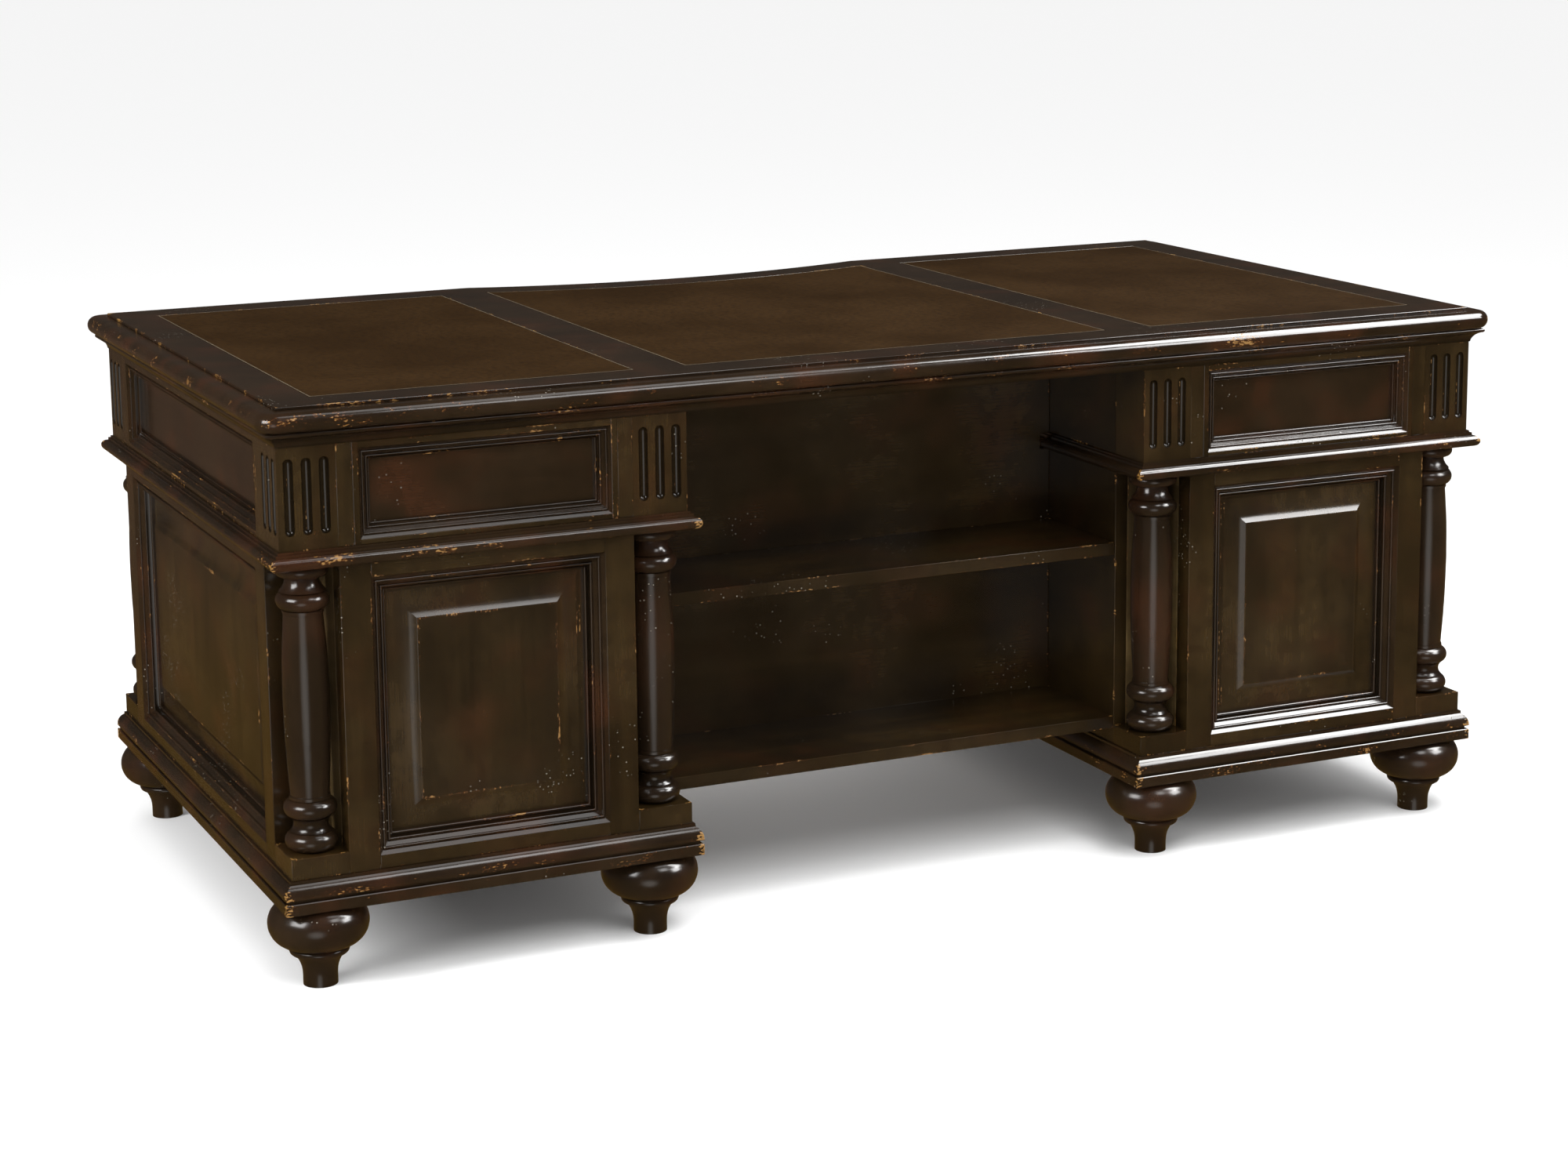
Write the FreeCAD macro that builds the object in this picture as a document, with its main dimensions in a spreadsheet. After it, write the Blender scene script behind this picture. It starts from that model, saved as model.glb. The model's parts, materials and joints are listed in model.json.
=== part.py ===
"""Pedestal desk with fluted corner blocks, turned columns, leather top and a bookcase front.

The long side with the bookcase faces -Y, the side with the drawers faces +Y, +Z is up.
The origin is on the floor, under the middle of the top.  All sizes are in millimetres.
"""
import FreeCAD, Part
import os
import re
import Sketcher

SIZES = [
    ("desk_width", 1842, "whole top, side to side"),
    ("desk_depth", 960, "whole top, front to back"),
    ("desk_height", 762, "floor to the top of the raised field"),
    ("field_step", 4, "raised field above the rounded edge"),
    ("edge_thick", 26, "rounded edge of the top"),
    ("edge_reach", 29, "rounded edge beyond the raised field"),
    ("edge_corner", 26, "corner radius of the top in plan"),
    ("edge_width", 60, "solid edging, measured in from the rim"),
    ("edge_lip", 0.2, "flat left between the two rounded arrises"),
    ("curve_half", 330, "half the width of the hollow on the user's side"),
    ("curve_depth", 55, "depth of the hollow on the user's side"),
    ("leather_border", 60, "wood border round the leathers"),
    ("leather_bar", 71, "wood bar between two leathers"),
    ("leather_centre", 641, "width of the middle leather"),
    ("leather_thick", 1.8, "leather skin"),
    ("leather_inlay", 2, "depth of the recess for a leather"),
    ("leather_gap", 0.4, "gap round a leather"),
    ("overhang", 26, "top beyond the pedestals at front and ends"),
    ("overhang_back", 40, "top beyond the pedestals on the user's side"),
    ("kneehole", 692, "clear width between the pedestals"),
    ("block", 76, "square of a fluted corner block"),
    ("cornice_height", 20, "moulding under the top"),
    ("cornice_reach", 16, "projection of that moulding"),
    ("cornice_bead", 3, "bead radius of that moulding"),
    ("cornice_fillet", 1.5, "small step under its cove"),
    ("frieze_height", 132, "fluted blocks and frieze panels"),
    ("waist_height", 23, "moulding under the frieze"),
    ("waist_reach", 15, "projection of the waist moulding"),
    ("waist_nose", 8, "nose radius of the waist moulding"),
    ("waist_step", 3, "each of its two small steps"),
    ("foot_height", 112.5, "turned foot"),
    ("base_height", 42.5, "moulding above the feet"),
    ("base_reach", 12, "projection of the base moulding"),
    ("base_band", 15.5, "flat band at its bottom"),
    ("base_groove", 5, "groove above the band"),
    ("base_groove_deep", 4.5, "depth of that groove"),
    ("base_ovolo", 16, "height of the quarter round"),
    ("base_step", 3, "small step on top of it"),
    ("base_chamfer", 1, "eased edges of the band"),
    ("base_rail", 84, "width of the rails that carry the feet"),
    ("bottom_thick", 16, "bottom board of a pedestal"),
    ("plinth_height", 28.5, "block under a column"),
    ("post_thick", 20, "boards that line the column recess"),
    ("side_board", 20, "inner side of a pedestal"),
    ("web_rail", 60, "rails of the frame under the top"),
    ("frame_thick", 30, "frame of the lower panels"),
    ("frame_stile", 41, "stile of the lower frames"),
    ("rail_top", 20, "upper rail of the lower frames"),
    ("rail_bottom", 18, "lower rail of the lower frames"),
    ("panel_thick", 23, "raised panel"),
    ("panel_recess", 25, "panel margin behind the frame"),
    ("panel_raise", 11, "field above its margin"),
    ("panel_margin", 40, "width of the margin with its cove"),
    ("panel_cove", 36, "width of the cove beside the field"),
    ("panel_mould", 23, "width of the lower panel moulding"),
    ("panel_bead", 1.8, "beads and small steps of that moulding"),
    ("frieze_thick", 24, "frame of the frieze panels"),
    ("frieze_filler", 21, "filler beside a fluted block"),
    ("frieze_stile", 8.5, "stile of the frieze frame"),
    ("frieze_rail_top", 9, "upper rail of the frieze frame"),
    ("frieze_rail_bottom", 7, "lower rail of the frieze frame"),
    ("frieze_panel", 10, "thickness of the flat frieze panel"),
    ("frieze_recess", 18, "frieze panel behind its frame"),
    ("frieze_mould", 18, "width of the frieze moulding"),
    ("frieze_bead", 1.4, "beads and small steps of that moulding"),
    ("flute_radius", 6.4, "half-round flute"),
    ("flute_pitch", 23, "spacing of the flutes"),
    ("flute_top", 15, "flute end below the block's top"),
    ("flute_bottom", 19, "flute end above the block's bottom"),
    ("column_roll", 34.3, "radius of the two large rings of a column"),
    ("column_end", 34, "radius of the rings at its ends"),
    ("column_waist", 20, "radius of the lower hollow"),
    ("column_neck", 21.5, "radius of the upper hollow"),
    ("column_flare", 30, "radius where the upper hollow flares out"),
    ("column_fillet", 26.5, "radius of the thin fillets"),
    ("shaft_end", 25, "radius of the shaft at its ends"),
    ("shaft_belly", 30, "radius of the shaft at its swell"),
    ("shaft_share", 0.55, "share of the shaft below its swell"),
    ("roll_height", 24.5, "height of a large ring"),
    ("end_height", 25.5, "height of the bottom ring"),
    ("cap_height", 17, "height of the top ring"),
    ("hollow_height", 18, "height of a hollow"),
    ("fillet_height", 4, "height of a thin fillet"),
    ("foot_bun", 65.5, "radius of the foot's bun"),
    ("foot_bun_top", 44, "radius of the bun's top face"),
    ("foot_bun_rise", 84, "height of the bun's widest place"),
    ("foot_ring", 39, "radius of the ring under the bun"),
    ("foot_ring_rise", 47, "height of the ring's middle"),
    ("foot_ring_round", 5.5, "rounding of the ring"),
    ("foot_neck", 32.5, "radius under the ring"),
    ("foot_toe", 22.5, "radius on the floor"),
    ("foot_toe_rise", 14, "straight part of the toe"),
    ("foot_inset", 45, "foot axis inside the pedestal's faces"),
    ("case_depth", 192, "depth of the bookcase shelves"),
    ("case_back", 12, "back board of the bookcase"),
    ("shelf_thick", 18, "shelves of the bookcase"),
    ("shelf_low", 196, "floor to the top of the bottom shelf"),
    ("shelf_drop", 105, "loose shelf's top below the waist moulding"),
    ("shelf_gap", 1, "gap round the loose shelf"),
    ("pin_radius", 3, "shelf pin"),
    ("pin_inset", 8, "shelf pin inside the wood"),
    ("pin_reach", 9, "shelf pin beyond the wood"),
    ("pin_edge", 32, "shelf pin from the shelf's long edges"),
    ("pin_gap", 0.05, "clearance of a pin in its hole"),
    ("front_thick", 20, "drawer front"),
    ("front_gap", 1.5, "gap round a drawer front"),
    ("drawer_side", 14, "side of a drawer box"),
    ("drawer_bottom", 8, "bottom of a drawer box"),
    ("drawer_rear", 274, "space behind a pedestal drawer's box"),
    ("drawer_clear", 4, "drawer box beside the wood it passes"),
    ("groove_deep", 7, "runner groove in a drawer side"),
    ("runner_thick", 14, "height of a runner"),
    ("runner_gap", 0.3, "clearance of a runner in its groove"),
    ("runner_seat", 24, "runner past the face that it is fixed to"),
    ("upper_head", 28, "space above a frieze drawer's box"),
    ("upper_rise", 8, "frieze drawer's box above the waist"),
    ("lower_head", 82, "space above a file drawer's box"),
    ("lower_rise", 20, "file drawer's box above the base"),
    ("centre_setback", 54, "middle drawer behind the pedestal fronts"),
    ("centre_front", 70, "height of the middle drawer's front"),
    ("centre_box", 54, "height of the middle drawer's box"),
    ("centre_rear", 120, "space behind the middle drawer's box"),
    ("centre_runner", 28, "runner of the middle drawer beyond the side"),
    ("plant_width", 18, "moulding planted on a drawer front"),
    ("plant_rise", 8, "that moulding beyond the drawer front"),
    ("plant_inset", 22, "that moulding from the front's edges"),
    ("knob_radius", 14, "drawer knob"),
    ("knob_neck", 7, "neck of the knob"),
    ("knob_rose", 16, "foot of the knob"),
    ("knob_reach", 30, "knob beyond the drawer front"),
    ("knob_margin", 57, "knob from the moulding planted on the front"),
    ("knob_margin_centre", 155, "knob from the end of the middle drawer"),
]

os.makedirs("parts", exist_ok=True)
doc = FreeCAD.newDocument("pedestal_desk")
sheet = doc.addObject("Spreadsheet::Sheet", "Sizes")
for row, (alias, number, meaning) in enumerate(SIZES, start=1):
    sheet.set(f"A{row}", meaning)
    sheet.set(f"B{row}", str(number))
    sheet.setAlias(f"B{row}", alias)
doc.recompute()

NODES = []

# Levels and faces, as expressions of the sizes
Z_BASE = "foot_height"
Z_PLINTH = "(foot_height + base_height)"
Z_COLUMN = "(foot_height + base_height + plinth_height)"
Z_FIELD = "(desk_height - field_step)"
Z_EDGE = "(desk_height - field_step - edge_thick)"
Z_CORNICE = f"({Z_EDGE} - cornice_height)"
Z_FRIEZE = f"({Z_CORNICE} - frieze_height)"
Z_WAIST = f"({Z_FRIEZE} - waist_height)"
X_OUT = "(desk_width / 2 - overhang)"
X_IN = "(kneehole / 2)"
X_MID = f"(({X_OUT} + {X_IN}) / 2)"
Y_FRONT = "(overhang - desk_depth / 2)"
Y_BACK = "(desk_depth / 2 - overhang_back)"
Y_MID = f"(({Y_FRONT} + {Y_BACK}) / 2)"
PED_WIDTH = f"({X_OUT} - {X_IN})"
PED_DEPTH = f"({Y_BACK} - {Y_FRONT})"
LOWER_HEIGHT = f"({Z_WAIST} - {Z_PLINTH})"
FACE_WIDTH = f"({PED_WIDTH} - 2 * block)"
END_WIDTH = f"({PED_DEPTH} - 2 * block)"
Z_SHELF = f"({Z_WAIST} - shelf_drop)"
CURVE_RADIUS = "((curve_half ^ 2 + curve_depth ^ 2) / (2 * curve_depth))"

FACING_FRONT = FreeCAD.Rotation(0, 0, 90)
FACING_END = FreeCAD.Rotation(-90, 0, 90)
FACING_BACK = FreeCAD.Rotation(180, 0, 90)
LEVEL = FreeCAD.Rotation(0, 0, 0)


def formula(text):
    """Write each plain word of an expression as a cell of the sheet."""
    return re.sub(r"[a-z]\w*", lambda word: "Sizes." + word.group(0), str(text))


def value(text):
    """Number that an expression has now."""
    return float(sheet.evalExpression(formula(text)))


def bind(item, prop, text):
    """Tie a property to an expression of the sizes."""
    item.setExpression(prop, formula(text))


def place(item, where, turn=LEVEL):
    """Turn an object and tie its place to the sizes."""
    item.Placement = FreeCAD.Placement(FreeCAD.Vector(), turn)
    for axis, text in zip("xyz", where):
        bind(item, f".Placement.Base.{axis}", text)
    return item


def node(item, label):
    """Name a finished sub-part and put it on the list for writing."""
    item.Label = label
    NODES.append(item)
    return item


def board(name, x_low, x_high, y_low, y_high, z_low, z_high):
    """Straight board between six faces."""
    item = doc.addObject("Part::Box", name)
    bind(item, "Length", f"{x_high} - ({x_low})")
    bind(item, "Width", f"{y_high} - ({y_low})")
    bind(item, "Height", f"{z_high} - ({z_low})")
    return place(item, (x_low, y_low, z_low))


def group(name, pieces):
    """Separate pieces kept together."""
    item = doc.addObject("Part::Compound", name)
    item.Links = pieces
    return item


def cut(name, base, tools):
    """Base with all the tools taken away."""
    item = doc.addObject("Part::Cut", name)
    item.Base = base
    item.Tool = tools[0] if len(tools) == 1 else fused(name + "_tools", tools)
    return item


def fused(name, pieces):
    """Pieces joined in one solid."""
    item = doc.addObject("Part::MultiFuse", name)
    item.Shapes = pieces
    return item


def mirrored(name, source, axis, at="0"):
    """Mirror image about the plane where the axis has the given value."""
    item = doc.addObject("Part::Mirroring", name)
    item.Source = source
    item.Normal = FreeCAD.Vector(*[float(letter == axis) for letter in "xyz"])
    if at != "0":
        bind(item, f"Base.{axis}", at)
    return item


def four_corners(name, piece):
    """A piece at the outer front corner of the left pedestal, and at its other three."""
    pair = group(name + "_front", [piece, mirrored(name + "_inner", piece, "x", f"-{X_MID}")])
    return group(name, [pair, mirrored(name + "_back", pair, "y", Y_MID)])


def both_sides(label, left):
    """A left pedestal's sub-part and its mirror image on the right."""
    node(left, "left_" + label)
    return node(mirrored("right_" + label, left, "x"), "right_" + label)


def paired(label, left):
    """One sub-part made of a left piece and its mirror image on the right."""
    return node(group(label + "_pair", [left, mirrored(label + "_far", left, "x")]), label)


def new_body(name):
    """Empty body with its origin planes by role."""
    body = doc.addObject("PartDesign::Body", name)
    planes = {item.Role: item for item in body.Origin.OriginFeatures}
    return body, planes


def sketch_on(body, plane, name):
    """Empty sketch on a plane of its own body."""
    sketch = body.newObject("Sketcher::SketchObject", name)
    sketch.AttachmentSupport = [(plane, "")]
    sketch.MapMode = "FlatFace"
    return sketch


def arc_between(start, end, radius, bulge):
    """Arc of less than a half circle; bulge is the side of its middle, left (+1) or right (-1)."""
    half = (end - start) * 0.5
    drop = max(radius ** 2 - half.Length ** 2, 0) ** 0.5
    across = FreeCAD.Vector(-half.y, half.x, 0) * (1 / half.Length)
    centre = start + half - across * drop * bulge
    first, last = (start, end) if bulge < 0 else (end, start)
    circle = Part.Circle(centre, FreeCAD.Vector(0, 0, 1), radius)
    return Part.ArcOfCircle(circle, circle.parameter(first), circle.parameter(last))


def outline(sketch, corners):
    """Closed outline through corners (x, y), or (x, y, radius, bulge) where an arc leaves the corner."""
    points = [FreeCAD.Vector(value(corner[0]), value(corner[1]), 0) for corner in corners]
    starts, ends = [], []
    for index, corner in enumerate(corners):
        start, end = points[index], points[(index + 1) % len(points)]
        if len(corner) == 2:
            edge = sketch.addGeometry(Part.LineSegment(start, end))
            starts.append((edge, 1))
            ends.append((edge, 2))
            continue
        radius, bulge = corner[2:]
        edge = sketch.addGeometry(arc_between(start, end, value(radius), bulge))
        starts.append((edge, 1 if bulge < 0 else 2))
        ends.append((edge, 2 if bulge < 0 else 1))
        tie = sketch.addConstraint(Sketcher.Constraint("Radius", edge, value(radius)))
        bind(sketch, f"Constraints[{tie}]", radius)
    for index, corner in enumerate(corners):
        sketch.addConstraint(Sketcher.Constraint("Coincident", *ends[index - 1], *starts[index]))
        spot = points[index]
        for kind, text, number in (("DistanceX", corner[0], spot.x), ("DistanceY", corner[1], spot.y)):
            tie = sketch.addConstraint(Sketcher.Constraint(kind, *starts[index], number))
            bind(sketch, f"Constraints[{tie}]", text)
    return sketch


def pad(body, sketch, length, middle=False):
    """Raise a sketch by a length, to one side or evenly to both."""
    item = body.newObject("PartDesign::Pad", sketch.Name + "_pad")
    item.Profile = sketch
    item.SideType = "Symmetric" if middle else "One side"
    bind(item, "Length", length)
    sketch.Visibility = False
    return item


def pocket_through(body, sketch):
    """Cut a sketch through everything, both ways."""
    item = body.newObject("PartDesign::Pocket", sketch.Name + "_pocket")
    item.Profile = sketch
    item.Type = "ThroughAll"
    item.SideType = "Symmetric"
    return item


def turned(name, corners):
    """Turned piece about Z from its half outline (radius, height)."""
    body, planes = new_body(name)
    half = outline(sketch_on(body, planes["XZ_Plane"], name + "_half"), corners)
    item = body.newObject("PartDesign::Revolution", name + "_turn")
    item.Profile = half
    item.ReferenceAxis = (half, ["V_Axis"])
    item.Angle = 360
    return body


def stick(name, section, length, reach, mitres=(True, True)):
    """Moulding along X whose section (out, up) is mitred so that it grows by its reach at each end."""
    body, planes = new_body(name)
    profile = outline(sketch_on(body, planes["YZ_Plane"], name + "_section"), section)
    whole = f"({length} + 2 * {reach})"
    pad(body, profile, whole, middle=True)
    for end, mitre in zip((-1, 1), mitres):
        inner, outer = f"{end} * {length} / 2", f"{end} * {whole} / 2"
        tail = [(outer, reach)] if mitre else [(outer, reach), (inner, reach)]
        wedge = sketch_on(body, planes["XY_Plane"], f"{name}_mitre_{end + 1}")
        outline(wedge, [(inner, "0"), (outer, "0")] + tail)
        pocket_through(body, wedge)
    return body


def ring(name, section, width, height, reach):
    """Four mitred sticks round a rectangle that is centred on the origin."""
    along = place(stick(name + "_along", section, width, reach), ("0", f"{height} / 2", "0"))
    across = stick(name + "_across", section, height, reach)
    place(across, (f"{width} / 2", "0", "0"), FreeCAD.Rotation(-90, 0, 0))
    sides = [along, mirrored(name + "_along_far", along, "y")]
    sides += [across, mirrored(name + "_across_far", across, "x")]
    return group(name, sides)


def bead_at(out, up, bead):
    """Half-round bead that starts at a point and runs inwards."""
    return [(out, up, bead, -1), (f"{out} - {bead}", f"{up} + {bead}", bead, -1), (f"{out} - 2 * {bead}", up)]


def panel_section(reach, recess, bead):
    """Moulding between a frame and its sunk panel: three slopes, each with a bead at its foot."""
    return [
        ("0", "0"),
        (reach, "0"),
        (reach, recess),
        *bead_at(f"{reach} - 3 * {bead}", f"{recess} - 3 * {bead}", bead),
        (f"{reach} - 5 * {bead}", f"{recess} / 2 + 3 * {bead}"),
        *bead_at(f"5 * {bead}", f"{recess} / 2", bead),
        (f"3 * {bead}", f"{recess} / 3"),
        *bead_at(f"2 * {bead}", f"{recess} / 5", bead),
    ]


def top_outline(inset):
    """Outline of the top, drawn in by an inset: round corners and a hollow on the user's side."""
    x_far, y_far = f"(desk_width / 2 - {inset})", f"(desk_depth / 2 - {inset})"
    return x_far, y_far


def hollow_edge(y_far, half="curve_half"):
    """Hollow stretch of an edge on the user's side, from +X to -X."""
    return [(half, y_far, CURVE_RADIUS, 1), (f"-{half}", y_far)]


def rounded_slab(name, inset, corner, thick, level):
    """Slab with the outline of the top, drawn in by an inset."""
    x_far, y_far = top_outline(inset)
    corners = [
        (f"{corner} - {x_far}", f"-{y_far}"),
        (f"{x_far} - {corner}", f"-{y_far}", corner, -1),
        (x_far, f"{corner} - {y_far}"),
        (x_far, f"{y_far} - {corner}", corner, -1),
        (f"{x_far} - {corner}", y_far),
        *hollow_edge(y_far),
        (f"{corner} - {x_far}", y_far, corner, -1),
        (f"-{x_far}", f"{y_far} - {corner}"),
        (f"-{x_far}", f"{corner} - {y_far}", corner, -1),
    ]
    body, planes = new_body(name)
    pad(body, outline(sketch_on(body, planes["XY_Plane"], name + "_plan"), corners), thick)
    return place(body, ("0", "0", level)), planes


def square_plan(inset):
    """Square-cornered outline of the top, drawn in by an inset."""
    x_far, y_far = top_outline(inset)
    return [
        (f"-{x_far}", f"-{y_far}"),
        (x_far, f"-{y_far}"),
        (x_far, y_far),
        *hollow_edge(y_far),
        (f"-{x_far}", y_far),
    ]


def flat_body(name, corners, thick, level):
    """Flat board with a drawn outline."""
    body, planes = new_body(name)
    pad(body, outline(sketch_on(body, planes["XY_Plane"], name + "_plan"), corners), thick)
    return place(body, ("0", "0", level)), planes


def leather_plans(gap):
    """Outlines of the left, middle and right leathers, smaller by a gap all round."""
    y_far = f"(desk_depth / 2 - edge_reach - leather_border - {gap})"
    x_far = f"(desk_width / 2 - edge_reach - leather_border - {gap})"
    x_near = f"(leather_centre / 2 + leather_bar + {gap})"
    x_middle = f"(leather_centre / 2 - {gap})"
    side = [(f"-{x_far}", f"-{y_far}"), (f"-{x_near}", f"-{y_far}")]
    side += [(f"-{x_near}", y_far), (f"-{x_far}", y_far)]
    other = [(x_near, f"-{y_far}"), (x_far, f"-{y_far}"), (x_far, y_far), (x_near, y_far)]
    middle = [(f"-{x_middle}", f"-{y_far}"), (x_middle, f"-{y_far}"), *hollow_edge(y_far, x_middle)]
    return {"left": side, "centre": middle, "right": other}


def build_top():
    """Core, rounded edging, raised field, leathers and the moulding under the edge."""
    edging, planes = rounded_slab("edging", "0", "edge_corner", "edge_thick", Z_EDGE)
    doc.recompute()
    slab = edging.Tip
    rims = [
        f"Edge{number}"
        for number, edge in enumerate(slab.Shape.Edges, start=1)
        if edge.BoundBox.ZLength < 1e-6
    ]
    nose = edging.newObject("PartDesign::Fillet", "edging_nose")
    nose.Base = (slab, rims)
    bind(nose, "Radius", "(edge_thick - edge_lip) / 2")
    hole = outline(sketch_on(edging, planes["XY_Plane"], "edging_hole"), square_plan("edge_width"))
    pocket_through(edging, hole)
    node(edging, "top_edging")

    core, _ = flat_body("core", square_plan("edge_width"), "edge_thick", Z_EDGE)
    node(core, "top_core")

    field, planes = flat_body("field", square_plan("edge_reach"), "field_step", Z_FIELD)
    for side, plan in leather_plans("0").items():
        recess = sketch_on(field, planes["XY_Plane"], f"recess_{side}")
        recess.AttachmentOffset = FreeCAD.Placement()
        bind(recess, ".AttachmentOffset.Base.z", "field_step")
        outline(recess, plan)
        sunk = field.newObject("PartDesign::Pocket", f"recess_{side}_pocket")
        sunk.Profile = recess
        bind(sunk, "Length", "leather_inlay")
    node(field, "top_field")

    for side, plan in leather_plans("leather_gap").items():
        skin, _ = flat_body(f"leather_{side}", plan, "leather_thick", "desk_height - leather_inlay")
        node(skin, f"leather_{side}")

    section = [
        ("0", "0"),
        ("cornice_fillet", "0"),
        ("cornice_fillet", "cornice_fillet", "cornice_height - cornice_bead", 1),
        ("cornice_reach - cornice_bead", "cornice_height - 2 * cornice_bead", "cornice_bead", -1),
        ("cornice_reach", "cornice_height - cornice_bead", "cornice_bead", -1),
        ("cornice_reach - cornice_bead", "cornice_height"),
        ("0", "cornice_height"),
    ]
    front = stick("cornice_front", section, f"(2 * {X_OUT})", "cornice_reach")
    place(front, ("0", Y_FRONT, Z_CORNICE), FreeCAD.Rotation(180, 0, 0))
    left = stick("cornice_left", section, PED_DEPTH, "cornice_reach")
    place(left, (f"-{X_OUT}", Y_MID, Z_CORNICE), FreeCAD.Rotation(90, 0, 0))
    back = stick("cornice_back", section, PED_WIDTH, "cornice_reach", mitres=(True, False))
    place(back, (f"-{X_MID}", Y_BACK, Z_CORNICE))
    pieces = [left, back]
    pieces += [mirrored(item.Name + "_far", item, "x") for item in pieces]
    node(group("cornice", [front] + pieces), "cornice_moulding")


def build_subframe():
    """Rails under the top that join the two pedestals."""
    inner_y = (f"{Y_FRONT} + web_rail", f"{Y_BACK} - web_rail")
    rails = [
        board("web_front", f"-{X_OUT}", f"-{X_IN}", Y_FRONT, inner_y[0], Z_CORNICE, Z_EDGE),
        board("web_back", f"-{X_OUT}", f"-{X_IN}", inner_y[1], Y_BACK, Z_CORNICE, Z_EDGE),
        board("web_outer", f"-{X_OUT}", f"web_rail - {X_OUT}", *inner_y, Z_CORNICE, Z_EDGE),
        board("web_inner", f"-{X_IN} - web_rail", f"-{X_IN}", *inner_y, Z_CORNICE, Z_EDGE),
    ]
    webs = group("web_frame", rails)
    y_rear = f"({Y_BACK} - centre_setback - front_thick)"
    ties = [
        board("tie_front", f"-{X_IN}", X_IN, Y_FRONT, inner_y[0], Z_CORNICE, Z_EDGE),
        board("tie_rear", f"-{X_IN}", X_IN, f"{y_rear} - web_rail", y_rear, Z_CORNICE, Z_EDGE),
    ]
    node(group("subframe", [webs, mirrored("web_frame_far", webs, "x")] + ties), "top_subframe")


def fluted_block(name, faces):
    """Corner block at the origin, x and y from 0 to its width, with flutes on the named faces."""
    solid = board(name + "_solid", "0", "block", "0", "block", "0", "frieze_height")
    low, high = "(flute_bottom + flute_radius)", "(frieze_height - flute_top - flute_radius)"
    tools = []
    for face in faces:
        for turn in (-1, 0, 1):
            across = f"(block / 2 + {turn} * flute_pitch)"
            spot = (across, "0") if face == "front" else ("0", across)
            gouge = doc.addObject("Part::Cylinder", f"{name}_{face}_{turn + 1}")
            bind(gouge, "Radius", "flute_radius")
            bind(gouge, "Height", f"{high} - {low}")
            tools.append(place(gouge, (*spot, low)))
            for end, level in (("low", low), ("high", high)):
                ball = doc.addObject("Part::Sphere", f"{name}_{face}_{turn + 1}_{end}")
                bind(ball, "Radius", "flute_radius")
                tools.append(place(ball, (*spot, level)))
    return cut(name, solid, tools)


def column_outline():
    """Half outline of a turned column, from its foot upwards."""
    levels = ["0"]

    def climb(height):
        """Level after one more stretch."""
        levels.append(f"{levels[-1]} + {height}")
        return levels[-1]

    def roll(radius, height):
        """Half-round ring of a given height."""
        low, edge, bend = levels[-1], f"{radius} - {height} / 2", f"{height} / 2"
        high = climb(height)
        return [(edge, low, bend, -1), (radius, f"{low} + {bend}", bend, -1), (edge, high)]

    def hollow(radius, height):
        """Hollow between two fillets, deepest at its middle."""
        low, bend = levels[-1], f"(({height} / 2) ^ 2 / 4 / (column_fillet - {radius}) * 4)"
        high = climb(height)
        return [("column_fillet", low, bend, 1), ("column_fillet", high)]

    def flare(wide, narrow, height):
        """Hollow that narrows upwards and ends upright."""
        low, drop = levels[-1], f"({wide} - {narrow})"
        return [(wide, low, f"(({height} ^ 2 + {drop} ^ 2) / (2 * {drop}))", 1), (narrow, climb(height))]

    def fillet(radius):
        """Thin straight ring."""
        low = levels[-1]
        return [(radius, low), (radius, climb("fillet_height"))]

    corners = [("0", "0")]
    corners += roll("column_end", "end_height") + hollow("column_waist", "hollow_height")
    corners += roll("column_roll", "roll_height") + fillet("column_fillet")
    foot = levels[-1]
    above = "(fillet_height + roll_height + hollow_height + cap_height)"
    length = f"({LOWER_HEIGHT} - plinth_height - {above} - ({foot}))"
    swell, rise = "(shaft_belly - shaft_end)", f"({length} * shaft_share)"
    lower = f"(({rise} ^ 2 + {swell} ^ 2) / (2 * {swell}))"
    upper = f"((({length} - {rise}) ^ 2 + {swell} ^ 2) / (2 * {swell}))"
    corners += [("shaft_end", foot, lower, -1), ("shaft_belly", f"{foot} + {rise}", upper, -1)]
    climb(length)
    corners += [("shaft_end", levels[-1])]
    corners += fillet("column_fillet") + roll("column_roll", "roll_height")
    corners += flare("column_flare", "column_neck", "hollow_height") + roll("column_end", "cap_height")
    return corners + [("0", levels[-1])]


def foot_outline():
    """Half outline of a turned foot, from the floor upwards."""
    ring_edge = "(foot_ring - foot_ring_round)"
    ring_low, ring_high = "(foot_ring_rise - foot_ring_round)", "(foot_ring_rise + foot_ring_round)"
    toe_rise, toe_flare = f"({ring_low} - foot_toe_rise)", "(foot_neck - foot_toe)"
    low_rise, low_swell = f"(foot_bun_rise - {ring_high})", f"(foot_bun - {ring_edge})"
    top_rise, top_swell = "(foot_height - foot_bun_rise)", "(foot_bun - foot_bun_top)"
    return [
        ("0", "0"),
        ("foot_toe", "0"),
        ("foot_toe", "foot_toe_rise", f"({toe_rise} ^ 2 + {toe_flare} ^ 2) / (2 * {toe_flare})", 1),
        ("foot_neck", ring_low),
        (ring_edge, ring_low, "foot_ring_round", -1),
        ("foot_ring", "foot_ring_rise", "foot_ring_round", -1),
        (ring_edge, ring_high, f"({low_rise} ^ 2 + {low_swell} ^ 2) / (2 * {low_swell})", -1),
        ("foot_bun", "foot_bun_rise", f"({top_rise} ^ 2 + {top_swell} ^ 2) / (2 * {top_swell})", -1),
        ("foot_bun_top", "foot_height"),
        ("0", "foot_height"),
    ]


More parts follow.
